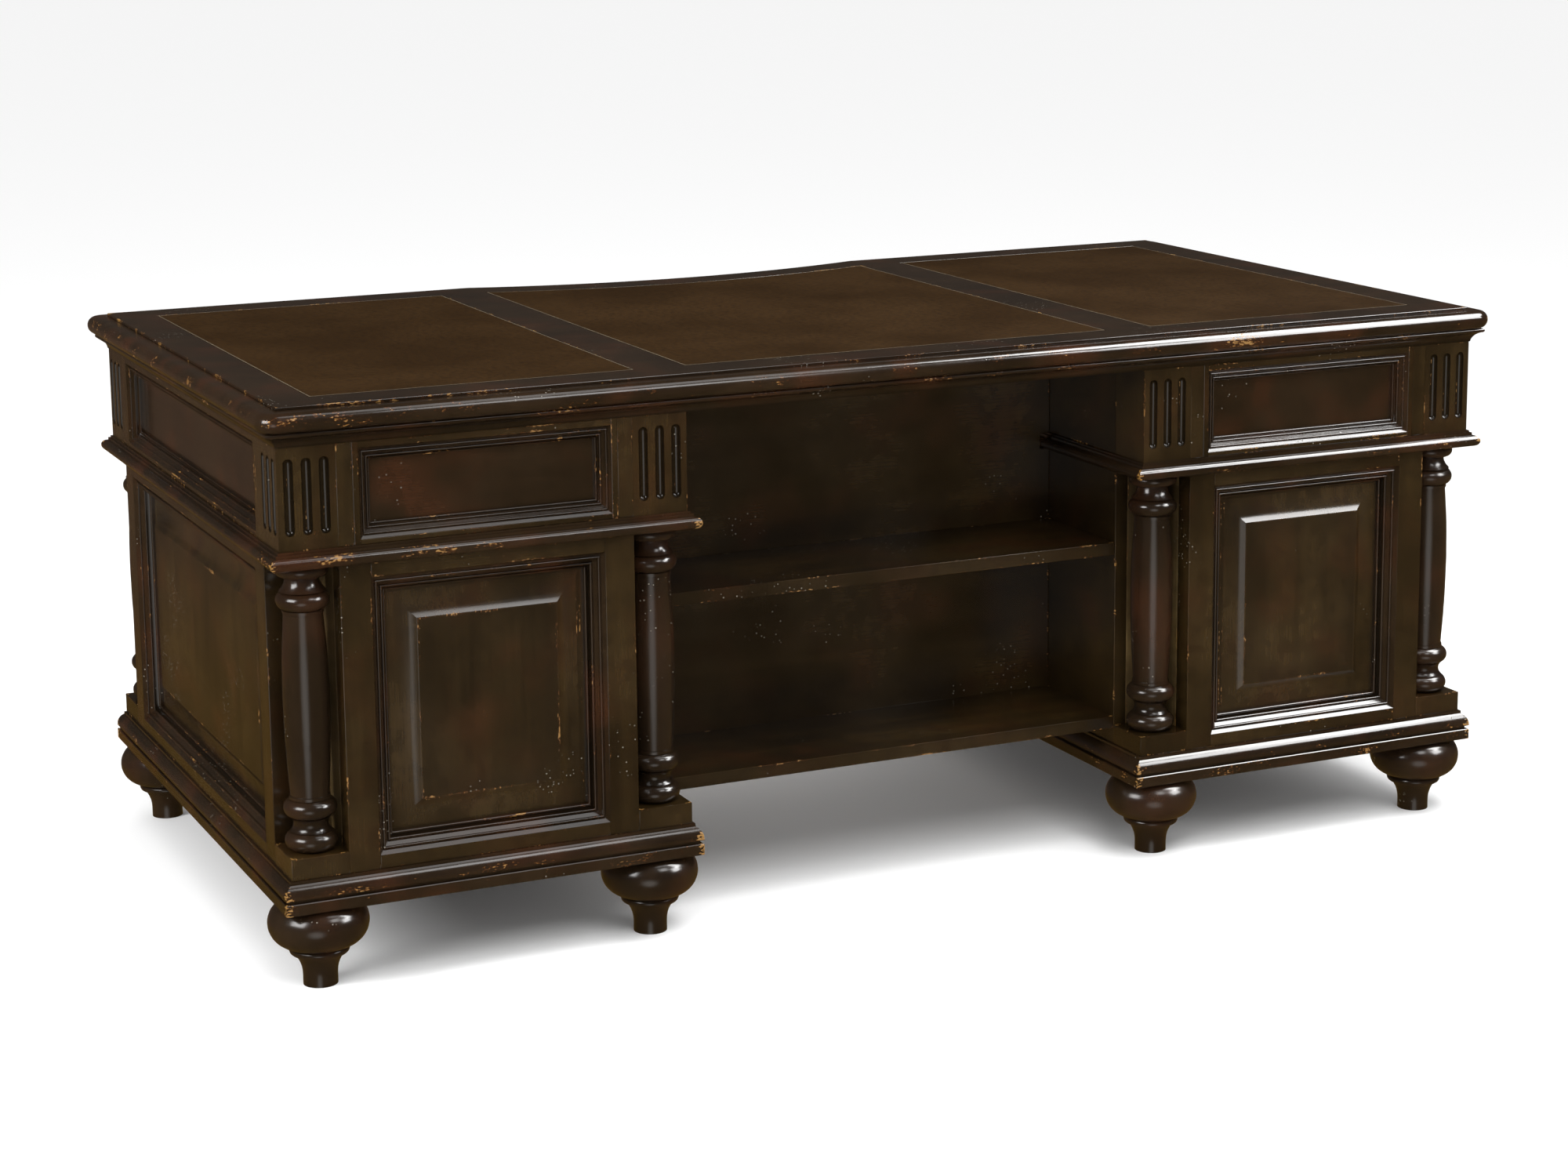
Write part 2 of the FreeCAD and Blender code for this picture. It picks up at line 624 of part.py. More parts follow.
def build_corners():
    """Fluted blocks, columns, plinth blocks and feet."""
    x_corner = f"-{X_OUT}"
    outer = place(fluted_block("block_outer", ("front", "side")), (x_corner, Y_FRONT, Z_FRIEZE))
    inner = place(fluted_block("block_inner", ("front",)), (f"-{X_IN} - block", Y_FRONT, Z_FRIEZE))
    pair = group("block_front", [outer, inner])
    paired("fluted_blocks", group("blocks", [pair, mirrored("block_back", pair, "y", Y_MID)]))

    column = turned("column", column_outline())
    place(column, (f"{x_corner} + block / 2", f"{Y_FRONT} + block / 2", Z_COLUMN))
    paired("columns", four_corners("column_corners", column))

    faces = (x_corner, f"block - {X_OUT}", Y_FRONT, f"{Y_FRONT} + block")
    plinth = board("plinth", *faces, Z_PLINTH, Z_COLUMN)
    paired("plinth_blocks", four_corners("plinth_corners", plinth))

    foot = turned("foot", foot_outline())
    place(foot, (f"{x_corner} + foot_inset", f"{Y_FRONT} + foot_inset", "0"))
    paired("feet", four_corners("foot_corners", foot))


def build_waist_and_base():
    """Boards and mouldings that run round a pedestal above and below its panels."""
    middle = (f"-{X_MID}", Y_MID)
    waist = [
        ("0", "0"),
        ("waist_reach - waist_nose", "0", "waist_nose", -1),
        ("waist_reach", "waist_nose", "waist_nose", -1),
        ("waist_reach - waist_nose", "2 * waist_nose"),
        ("2 * waist_step", "2 * waist_nose"),
        ("2 * waist_step", "waist_height - waist_step"),
        ("waist_step", "waist_height - waist_step"),
        ("waist_step", "waist_height"),
        ("0", "waist_height"),
    ]
    moulding = ring("waist_ring", waist, PED_WIDTH, PED_DEPTH, "waist_reach")
    both_sides("waist_moulding", place(moulding, (*middle, Z_WAIST)))
    paired("waist_boards", board("waist_slab", f"-{X_OUT}", f"-{X_IN}", Y_FRONT, Y_BACK, Z_WAIST, Z_FRIEZE))

    ovolo = "(base_band + base_groove)"
    crown = f"({ovolo} + 2 + base_ovolo)"
    swell = "(base_reach - base_step - 1)"
    bend = f"(({swell} ^ 2 + base_ovolo ^ 2) / (2 * {swell}))"
    base = [
        ("0", "0"),
        ("base_reach - base_chamfer", "0"),
        ("base_reach", "base_chamfer"),
        ("base_reach", "base_band - base_chamfer"),
        ("base_reach - base_chamfer", "base_band"),
        ("base_reach - base_groove_deep", "base_band"),
        ("base_reach - base_groove_deep", ovolo),
        ("base_reach", ovolo),
        ("base_reach", f"{ovolo} + 2", bend, -1),
        ("base_step + 1", crown),
        ("base_step", crown),
        ("base_step", "base_height"),
        ("0", "base_height"),
    ]
    moulding = ring("base_ring", base, PED_WIDTH, PED_DEPTH, "base_reach")
    both_sides("base_moulding", place(moulding, (*middle, Z_BASE)))
    y_low, y_high = f"({Y_FRONT} + base_rail)", f"({Y_BACK} - base_rail)"
    x_low, x_high = f"(base_rail - {X_OUT})", f"(-{X_IN} - base_rail)"
    rails = [
        board("base_front", f"-{X_OUT}", f"-{X_IN}", Y_FRONT, y_low, Z_BASE, Z_PLINTH),
        board("base_back", f"-{X_OUT}", f"-{X_IN}", y_high, Y_BACK, Z_BASE, Z_PLINTH),
        board("base_outer", f"-{X_OUT}", x_low, y_low, y_high, Z_BASE, Z_PLINTH),
        board("base_inner", x_high, f"-{X_IN}", y_low, y_high, Z_BASE, Z_PLINTH),
    ]
    both_sides("base_frame", group("base_rails", rails))
    bottom = board("bottom", x_low, x_high, y_low, y_high, f"{Z_PLINTH} - bottom_thick", Z_PLINTH)
    paired("bottom_boards", bottom)


def build_posts_and_side():
    """Boards behind the columns and the plain inner side of a pedestal."""
    y_low, y_high = f"({Y_FRONT} + block)", f"({Y_BACK} - block)"
    x_low, x_high = f"(block - {X_OUT})", f"(-{X_IN} - block)"
    walls = [
        (f"frame_thick - {X_OUT}", f"{x_low} + post_thick"),
        (f"{x_high} - post_thick", f"-{X_IN} - side_board"),
    ]
    cheeks = [(x_low, f"{x_low} + post_thick"), (f"{x_high} - post_thick", x_high)]
    boards = []
    for index in (0, 1):
        for end, across, along in (
            ("front", (y_low, f"{y_low} + post_thick"), (f"{Y_FRONT} + frame_thick", y_low)),
            ("back", (f"{y_high} - post_thick", y_high), (y_high, f"{Y_BACK} - front_thick")),
        ):
            boards.append(board(f"wall_{end}_{index}", *walls[index], *across, Z_PLINTH, Z_WAIST))
            boards.append(board(f"cheek_{end}_{index}", *cheeks[index], *along, Z_PLINTH, Z_WAIST))
    both_sides("corner_posts", group("posts", boards))

    faces = (f"-{X_IN} - side_board", f"-{X_IN}", y_low, y_high)
    lower = board("side_lower", *faces, Z_PLINTH, Z_WAIST)
    upper = board("side_upper", *faces, Z_FRIEZE, Z_CORNICE)
    holes = [pin_at(f"pin_hole_{spot}", spot, "pin_gap") for spot in ("front", "back")]
    side = group("inner_side", [cut("side_drilled", lower, holes), upper])
    both_sides("inner_side", side)
    pins = [pin_at(f"pin_{spot}", spot, "0") for spot in ("front", "back")]
    paired("shelf_pins", group("pins", pins))


def pin_at(name, spot, gap):
    """Shelf pin in the left side of the bookcase, or the hole for it, wider by a gap."""
    y_low = f"({Y_FRONT} + block)"
    along = f"{y_low} + pin_edge" if spot == "front" else f"{y_low} + case_depth - pin_edge"
    item = doc.addObject("Part::Cylinder", name)
    bind(item, "Radius", f"pin_radius + {gap}")
    bind(item, "Height", "pin_inset + pin_reach")
    turn = FreeCAD.Rotation(0, 90, 0)
    return place(item, (f"-{X_IN} - pin_inset", along, f"{Z_SHELF} - shelf_thick - pin_radius"), turn)


def framed_opening(name, width, height, thick, stile, rails, fillers="0"):
    """Frame boards round an opening; x is centred, y runs up from 0 and z runs out to the face at 0."""
    low, high = rails
    edge, inner = f"({width} / 2 - {fillers})", f"({width} / 2 - {fillers} - {stile})"
    depth = (f"-{thick}", "0")
    boards = [
        board(name + "_stile_left", f"-{edge}", f"-{inner}", "0", height, *depth),
        board(name + "_stile_right", inner, edge, "0", height, *depth),
        board(name + "_rail_low", f"-{inner}", inner, "0", low, *depth),
        board(name + "_rail_high", f"-{inner}", inner, f"{height} - {high}", height, *depth),
    ]
    if fillers != "0":
        boards.append(board(name + "_filler_left", f"-{width} / 2", f"-{edge}", "0", height, *depth))
        boards.append(board(name + "_filler_right", edge, f"{width} / 2", "0", height, *depth))
    return group(name, boards)


def raised_panel(name, width, height):
    """Panel with hollowed margins; back at z = 0, field at the panel's thickness, centred on the origin."""
    body, planes = new_body(name)
    x_far, y_far = f"({width} / 2)", f"({height} / 2)"
    plan = [(f"-{x_far}", f"-{y_far}"), (x_far, f"-{y_far}"), (x_far, y_far), (f"-{x_far}", y_far)]
    pad(body, outline(sketch_on(body, planes["XY_Plane"], name + "_plan"), plan), "panel_thick")
    sweep = "((panel_cove ^ 2 + panel_raise ^ 2) / (2 * panel_raise))"
    low = "(panel_thick - panel_raise)"
    for plane, far in (("XZ_Plane", x_far), ("YZ_Plane", y_far)):
        for side in (-1, 1):
            edge = f"({far} - panel_mould - panel_margin)"
            foot, lip = f"{side} * ({edge} + panel_cove)", f"{side} * {edge}"
            waste = sketch_on(body, planes[plane], f"{name}_waste_{plane[:2].lower()}_{side + 1}")
            outline(waste, [
                (f"{side} * {far}", low),
                (foot, low, sweep, side),
                (lip, "panel_thick"),
                (f"{side} * {far}", "panel_thick"),
            ])
            pocket_through(body, waste)
    return body


def build_faces():
    """Frames, panels and mouldings on the visitor's side and on the outer end of a pedestal."""
    spots = {
        "front": (FACE_WIDTH, FACING_FRONT, (f"-{X_MID}", Y_FRONT)),
        "end": (END_WIDTH, FACING_END, (f"-{X_OUT}", Y_MID)),
    }
    inward = {"front": ("0", "1"), "end": ("1", "0")}
    frames, friezes, mouldings, flats, panels, beads = [], [], [], [], [], []
    for face, (width, turn, (x_face, y_face)) in spots.items():
        def seat(depth):
            """Point of the face, moved into the pedestal by a depth."""
            across, along = inward[face]
            return f"{x_face} + {across} * {depth}", f"{y_face} + {along} * {depth}"

        lower = framed_opening(
            f"frame_{face}", width, LOWER_HEIGHT, "frame_thick", "frame_stile", ("rail_bottom", "rail_top")
        )
        frames.append(place(lower, (x_face, y_face, Z_PLINTH), turn))
        upper = framed_opening(
            f"frieze_{face}", width, "frieze_height", "frieze_thick", "frieze_stile",
            ("frieze_rail_bottom", "frieze_rail_top"), "frieze_filler"
        )
        friezes.append(place(upper, (x_face, y_face, Z_FRIEZE), turn))

        wide, tall = f"({width} - 2 * frame_stile)", f"({LOWER_HEIGHT} - rail_top - rail_bottom)"
        centre = f"{Z_PLINTH} + rail_bottom + {tall} / 2"
        panel = raised_panel(f"panel_{face}", wide, tall)
        panels.append(place(panel, (*seat("(panel_recess - panel_raise + panel_thick)"), centre), turn))
        section = panel_section("panel_mould", "panel_recess", "panel_bead")
        inside = [f"({size} - 2 * panel_mould)" for size in (wide, tall)]
        bead = ring(f"bead_{face}", section, *inside, "panel_mould")
        beads.append(place(bead, (*seat("panel_recess"), centre), turn))

        wide = f"({width} - 2 * frieze_filler - 2 * frieze_stile)"
        tall = "(frieze_height - frieze_rail_top - frieze_rail_bottom)"
        centre = f"{Z_FRIEZE} + frieze_rail_bottom + {tall} / 2"
        half = (f"-{wide} / 2", f"{wide} / 2", f"-{tall} / 2", f"{tall} / 2")
        flat = group(f"flat_{face}", [board(f"flat_board_{face}", *half, "-frieze_panel", "0")])
        flats.append(place(flat, (*seat("frieze_recess"), centre), turn))
        section = panel_section("frieze_mould", "frieze_recess", "frieze_bead")
        inside = [f"({size} - 2 * frieze_mould)" for size in (wide, tall)]
        trim = ring(f"trim_{face}", section, *inside, "frieze_mould")
        mouldings.append(place(trim, (*seat("frieze_recess"), centre), turn))
    both_sides("frieze_frames", group("frieze_frames", friezes))
    both_sides("frieze_mouldings", group("frieze_mouldings", mouldings))
    both_sides("frieze_panels", group("frieze_panels", flats))
    both_sides("panel_frames", group("panel_frames", frames))
    both_sides("panel_mouldings", group("panel_mouldings", beads))
    both_sides("raised_panels", group("raised_panels", panels))


def build_bookcase():
    """Back board, bottom shelf and loose shelf between the pedestals."""
    y_low = f"({Y_FRONT} + block)"
    y_back = f"({y_low} + case_depth)"
    y_far, z_low = f"{y_back} + case_back", "shelf_low - shelf_thick"
    back = board("case_board", f"-{X_IN}", X_IN, y_back, y_far, z_low, Z_EDGE)
    notch = board("case_notch", f"-{X_IN}", f"waist_reach - {X_IN}", y_back, y_far, Z_WAIST, Z_FRIEZE)
    node(cut("case_back", back, [notch, mirrored("case_notch_far", notch, "x")]), "bookcase_back")
    low = board("case_low", f"-{X_IN}", X_IN, y_low, y_back, z_low, "shelf_low")
    node(low, "bookcase_bottom_shelf")
    inner = f"({X_IN} - shelf_gap)"
    mid = board(
        "case_mid", f"-{inner}", inner, y_low, f"{y_back} - shelf_gap", f"{Z_SHELF} - shelf_thick", Z_SHELF
    )
    node(mid, "bookcase_shelf")


def drawer_box(name, x_mid, width, y_front, length, z_low, height):
    """Two grooved sides, a back and a bottom, open above and closed by the front."""
    half = f"({width} / 2)"
    y_rear = f"({y_front} - {length})"
    groove_low = f"({z_low} + {height} / 2 - runner_thick / 2 - runner_gap)"
    groove_high = f"({groove_low} + runner_thick + 2 * runner_gap)"
    sides = []
    for end in (-1, 1):
        outer, inner = f"({x_mid} + {end} * {half})", f"({x_mid} + {end} * ({half} - drawer_side))"
        floor = f"({x_mid} + {end} * ({half} - groove_deep))"
        span = (outer, inner) if end < 0 else (inner, outer)
        slot = (outer, floor) if end < 0 else (floor, outer)
        plank = board(f"{name}_side_{end + 1}", *span, y_rear, y_front, z_low, f"{z_low} + {height}")
        groove = board(f"{name}_groove_{end + 1}", *slot, y_rear, y_front, groove_low, groove_high)
        sides.append(cut(f"{name}_grooved_{end + 1}", plank, [groove]))
    x_low, x_high = f"({x_mid} - {half} + drawer_side)", f"({x_mid} + {half} - drawer_side)"
    y_wall = f"{y_rear} + drawer_side"
    rear = board(name + "_rear", x_low, x_high, y_rear, y_wall, z_low, f"{z_low} + {height}")
    floor = board(name + "_floor", x_low, x_high, y_wall, y_front, z_low, f"{z_low} + drawer_bottom")
    return group(name, sides + [rear, floor])


def knob_outline():
    """Half outline of a knob, from its foot on the drawer front outwards."""
    throat = "(knob_reach - 2 * knob_radius + 8)"
    return [
        ("0", "0"),
        ("knob_rose", "0"),
        ("knob_rose", "2"),
        ("knob_neck", "5"),
        ("knob_neck", throat),
        ("knob_radius", "knob_reach - knob_radius + 4", "knob_radius", -1),
        ("knob_neck", "knob_reach"),
        ("0", "knob_reach"),
    ]


def knobs_at(name, x_mid, y_face, z_mid, spread):
    """Pair of knobs on a drawer front."""
    pair = []
    for side in (-1, 1):
        knob = turned(f"{name}_{side + 1}", knob_outline())
        x_knob = f"{x_mid} + {side} * {spread} / 2"
        pair.append(place(knob, (x_knob, y_face, z_mid), FreeCAD.Rotation(0, 0, -90)))
    return group(name, pair)


def planted_front(name, span, z_low, z_high):
    """Drawer front with a mitred moulding planted on its face."""
    x_low, x_high, _, y_face = span
    plank = board(f"{name}_board", *span, z_low, z_high)
    border = "2 * (plant_inset + plant_width)"
    wide, tall = f"({x_high} - ({x_low}) - {border})", f"({z_high} - ({z_low}) - {border})"
    bead = "plant_rise / 2"
    section = [
        ("0", "0"),
        ("plant_width", "0"),
        ("plant_width", bead, bead, -1),
        (f"plant_width - {bead}", "plant_rise", bead, -1),
        ("plant_width - plant_rise", bead),
        ("0", "plant_rise / 4"),
    ]
    trim = ring(f"{name}_trim", section, wide, tall, "plant_width")
    place(trim, (f"({x_low} + {x_high}) / 2", y_face, f"({z_low} + {z_high}) / 2"), FACING_BACK)
    return group(name, [plank, trim])


def build_pedestal_drawers():
    """Frieze drawer and file drawer of a pedestal, with their runners."""
    x_mid = f"(-{X_MID})"
    y_front = f"({Y_BACK} - front_thick)"
    edge = f"({FACE_WIDTH} / 2 - front_gap)"
    span = (f"{x_mid} - {edge}", f"{x_mid} + {edge}", y_front, Y_BACK)
    y_block = (f"({Y_FRONT} + block)", f"({Y_BACK} - block)")
    y_wall = (f"({Y_FRONT} + block + post_thick)", f"({Y_BACK} - block - post_thick)")
    between_posts = f"({FACE_WIDTH} - 2 * post_thick)"
    kinds = {
        "frieze_drawer": (Z_FRIEZE, Z_CORNICE, "upper_rise", "upper_head", FACE_WIDTH, y_block),
        "file_drawer": (Z_PLINTH, Z_WAIST, "lower_rise", "lower_head", between_posts, y_wall),
    }
    length = f"({PED_DEPTH} - front_thick - drawer_rear)"
    spread = f"(2 * ({edge} - plant_inset - plant_width - knob_margin))"
    runners = []
    for name, (z_low, z_high, rise, head, passage, reach) in kinds.items():
        front = planted_front(f"{name}_face", span, f"({z_low} + front_gap)", f"({z_high} - front_gap)")
        both_sides(f"{name}_front", front)
        width = f"({passage} - 2 * drawer_clear)"
        z_box, height = f"({z_low} + {rise})", f"({z_high} - {z_low} - {rise} - {head})"
        both_sides(f"{name}_box", drawer_box(f"{name}_box", x_mid, width, y_front, length, z_box, height))
        z_knob = f"({z_low} + {z_high}) / 2"
        both_sides(f"{name}_knobs", knobs_at(f"{name}_knobs", x_mid, Y_BACK, z_knob, spread))
        z_runner = f"({z_box} + {height} / 2 - runner_thick / 2)"
        for end in (-1, 1):
            inner = f"{x_mid} + {end} * ({width} / 2 - groove_deep + 1)"
            outer = f"{x_mid} + {end} * ({passage} / 2 + runner_seat)"
            across = (outer, inner) if end < 0 else (inner, outer)
            levels = (z_runner, f"{z_runner} + runner_thick")
            runners.append(board(f"{name}_runner_{end + 1}", *across, *reach, *levels))
    both_sides("drawer_runners", group("runners", runners))


def build_centre_drawer():
    """Shallow drawer over the kneehole."""
    y_face = f"({Y_BACK} - centre_setback)"
    y_front = f"({y_face} - front_thick)"
    half = f"({X_IN} - front_gap)"
    z_high = f"({Z_CORNICE} - front_gap)"
    z_low = f"({z_high} - centre_front)"
    node(board("centre_board", f"-{half}", half, y_front, y_face, z_low, z_high), "centre_drawer_front")
    width = f"(kneehole - 2 * centre_runner)"
    z_box = f"({z_low} + (centre_front - centre_box) / 2)"
    y_case = f"({Y_FRONT} + block + case_depth + case_back)"
    length = f"({y_front} - {y_case} - centre_rear)"
    box = drawer_box("centre_box_planks", "0", width, y_front, length, z_box, "centre_box")
    node(box, "centre_drawer_box")
    spread = f"(2 * ({half} - knob_margin_centre))"
    knobs = knobs_at("centre_knobs", "0", y_face, f"({z_low} + {z_high}) / 2", spread)
    node(knobs, "centre_drawer_knobs")
    z_runner = f"({z_box} + centre_box / 2 - runner_thick / 2)"
    inner = f"({width} / 2 - groove_deep + 1)"
    left = board(
        "centre_runner_left", f"-{X_IN}", f"-{inner}",
        f"{y_front} - {length}", f"{Y_BACK} - block - centre_setback",
        z_runner, f"{z_runner} + runner_thick"
    )
    node(group("centre_runners", [left, mirrored("centre_runner_right", left, "x")]), "centre_drawer_runners")


build_top()
build_subframe()
build_corners()
build_waist_and_base()
build_posts_and_side()
build_faces()
build_bookcase()
build_pedestal_drawers()
build_centre_drawer()
doc.recompute()

for item in doc.Objects:
    if {"Invalid", "Error"} & set(item.State):
        raise RuntimeError(f"{item.Name} did not build: {item.State}")
for item in NODES:
    if item.Shape.isNull() or not item.Shape.isValid() or not item.Shape.Solids:
        raise RuntimeError(f"{item.Label} has no sound shape")
for item in NODES:
    item.Shape.exportStep(f"parts/{item.Label}.step")
print(len(NODES), "sub-parts,", sum(len(item.Shape.Solids) for item in NODES), "solids")
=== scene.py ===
"""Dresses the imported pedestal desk: eased arrises, rubbed lacquer, leather, brass and studio light."""
import json
import logging
import math
import random
from dataclasses import dataclass, field
from enum import Enum
from typing import ClassVar, Iterable, Optional, Sequence, Union

import bmesh
import bpy
from mathutils import Matrix, Vector


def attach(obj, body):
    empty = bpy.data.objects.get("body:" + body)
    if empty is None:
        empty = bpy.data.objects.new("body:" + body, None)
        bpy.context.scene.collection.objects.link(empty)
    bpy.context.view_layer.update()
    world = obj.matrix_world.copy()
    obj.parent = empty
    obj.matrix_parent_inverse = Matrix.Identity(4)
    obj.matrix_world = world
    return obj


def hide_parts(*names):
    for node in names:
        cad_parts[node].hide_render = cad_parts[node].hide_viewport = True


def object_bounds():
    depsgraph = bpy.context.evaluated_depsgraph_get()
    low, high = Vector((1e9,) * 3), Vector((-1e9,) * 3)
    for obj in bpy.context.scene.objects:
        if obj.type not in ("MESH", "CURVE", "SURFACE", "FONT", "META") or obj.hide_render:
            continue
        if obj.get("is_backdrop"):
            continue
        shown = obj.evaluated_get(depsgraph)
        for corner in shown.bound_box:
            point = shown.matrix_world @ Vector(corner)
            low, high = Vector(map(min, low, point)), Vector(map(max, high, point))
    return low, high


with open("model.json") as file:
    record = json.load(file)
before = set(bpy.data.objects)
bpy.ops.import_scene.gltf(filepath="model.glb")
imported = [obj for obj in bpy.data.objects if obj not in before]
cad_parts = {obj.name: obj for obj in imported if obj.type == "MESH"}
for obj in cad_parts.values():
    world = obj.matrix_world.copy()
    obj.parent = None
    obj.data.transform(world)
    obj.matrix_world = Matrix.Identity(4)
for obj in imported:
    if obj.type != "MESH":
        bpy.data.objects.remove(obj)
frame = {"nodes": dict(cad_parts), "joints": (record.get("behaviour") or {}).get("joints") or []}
CAD_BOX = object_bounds()

log = logging.getLogger("desk")

Colour = tuple[float, float, float]
Point = tuple[float, float, float]
Span = tuple[float, float]
Plug = Union[bpy.types.NodeSocket, float, tuple]

MM = 0.001
SEED = 7
WHITE: Colour = (1.0, 1.0, 1.0)
# Near-black that hollows are darkened towards: dark wax together with painted shade in the hollows.
HOLLOW_WAX_AND_SHADE: Colour = (0.003, 0.002, 0.001)

# Facets of a flat face turn by less than the first angle, arrises by more than the second,
# and facets of a curved surface by less than the third.
FLAT_TURN = math.radians(0.4)
SHARP_TURN = math.radians(28)
SMOOTH_TURN = math.radians(30)


class Along(Enum):
    """Axis that a board's grain runs along."""

    X = (0, 1, 2)
    Y = (1, 2, 0)
    Z = (2, 0, 1)
    LONGEST = ()


class Form(Enum):
    """How a node's solids are finished."""

    BOARDS = "flat boards with eased arrises"
    MOULDED = "moulded or turned surfaces, smooth between their arrises"
    RINGED = "mouldings that run round the corners of the desk"


class LampRole(Enum):
    """What a lamp does."""

    FILL = "lights the surfaces, and isn't mirrored in them"
    SHINE = "is mirrored in the lacquer, and lights nothing else"


class Wiring:
    """Short-hand for wiring a shader tree."""

    MIX_INPUTS = (0, 6, 7)
    MIX_OUTPUT = 2

    def __init__(self, tree: bpy.types.NodeTree) -> None:
        """Keep the tree to work on."""
        self.tree = tree

    def node(self, kind: str, plugs: Optional[dict[str, Plug]] = None, **settings: object) -> bpy.types.Node:
        """Add a node.

        Args:
            kind: Node type without its ShaderNode prefix.
            plugs: Values or sockets for named inputs.
            settings: Properties of the node.

        Returns:
            The new node.
        """
        item = self.tree.nodes.new("ShaderNode" + kind)
        for name, setting in settings.items():
            setattr(item, name, setting)
        for name, plug in (plugs or {}).items():
            self.plug(item.inputs[name], plug)
        return item

    def plug(self, socket: bpy.types.NodeSocket, plug: Plug) -> None:
        """Link a socket to an input, or set the input's value."""
        if isinstance(plug, bpy.types.NodeSocket):
            self.tree.links.new(plug, socket)
        elif isinstance(plug, tuple) and socket.type == "RGBA":
            socket.default_value = (*plug, 1.0)
        else:
            socket.default_value = plug

    def attribute(self, name: str, output: str) -> bpy.types.NodeSocket:
        """Socket of a mesh attribute."""
        return self.node("Attribute", attribute_name=name).outputs[output]

    def math(self, operation: str, *plugs: Plug) -> bpy.types.NodeSocket:
        """Add a Math node.

        Args:
            operation: Name of the operation.
            plugs: Its operands.

        Returns:
            The result's socket.
        """
        item = self.node("Math", operation=operation)
        for socket, plug in zip(item.inputs, plugs):
            self.plug(socket, plug)
        return item.outputs[0]

    def span(self, plug: Plug, low: float, high: float) -> bpy.types.NodeSocket:
        """Map low to 0 and high to 1, smoothly.

        Args:
            plug: Value to map.
            low: Value that becomes 0.
            high: Value that becomes 1.

        Returns:
            The mapped value's socket.
        """
        item = self.node("MapRange", interpolation_type="SMOOTHSTEP")
        for name, value in (("Value", plug), ("From Min", low), ("From Max", high)):
            self.plug(item.inputs[name], value)
        return item.outputs["Result"]

    def blend(self, factor: Plug, first: Plug, second: Plug) -> bpy.types.NodeSocket:
        """Mix two colours.

        Args:
            factor: Share of the second colour.
            first: Colour at factor 0.
            second: Colour at factor 1.

        Returns:
            The mixed colour's socket.
        """
        item = self.node("Mix", data_type="RGBA")
        for index, plug in zip(self.MIX_INPUTS, (factor, first, second)):
            self.plug(item.inputs[index], plug)
        return item.outputs[self.MIX_OUTPUT]

    def tint(self, colour: Plug, other: Plug, mask: Plug, share: float) -> bpy.types.NodeSocket:
        """Mix in another colour where a mask is set.

        Args:
            colour: Colour where the mask is 0.
            other: Colour to mix in.
            mask: Where it is mixed in.
            share: Its share where the mask is 1.

        Returns:
            The mixed colour's socket.
        """
        return self.blend(self.math("MULTIPLY", mask, share), colour, other)

    def stretch(self, vector: Plug, scale: Point) -> bpy.types.NodeSocket:
        """Scale a vector.

        Args:
            vector: Vector to scale.
            scale: Factors along its three axes.

        Returns:
            The scaled vector's socket.
        """
        item = self.node("Mapping", {"Vector": vector, "Scale": Vector(scale)}, vector_type="POINT")
        return item.outputs[0]

    def noise(
        self, vector: Plug, scale: float, detail: float, offset: Plug = 0.0
    ) -> bpy.types.NodeSocket:
        """Fractal noise.

        Args:
            vector: Where it is read.
            scale: Cells per unit.
            detail: Octaves.
            offset: Fourth coordinate, which gives each board its own pattern.

        Returns:
            The noise value's socket.
        """
        plugs = {"Vector": vector, "W": offset, "Scale": scale, "Detail": detail}
        return self.node("TexNoise", plugs, noise_dimensions="4D").outputs[0]


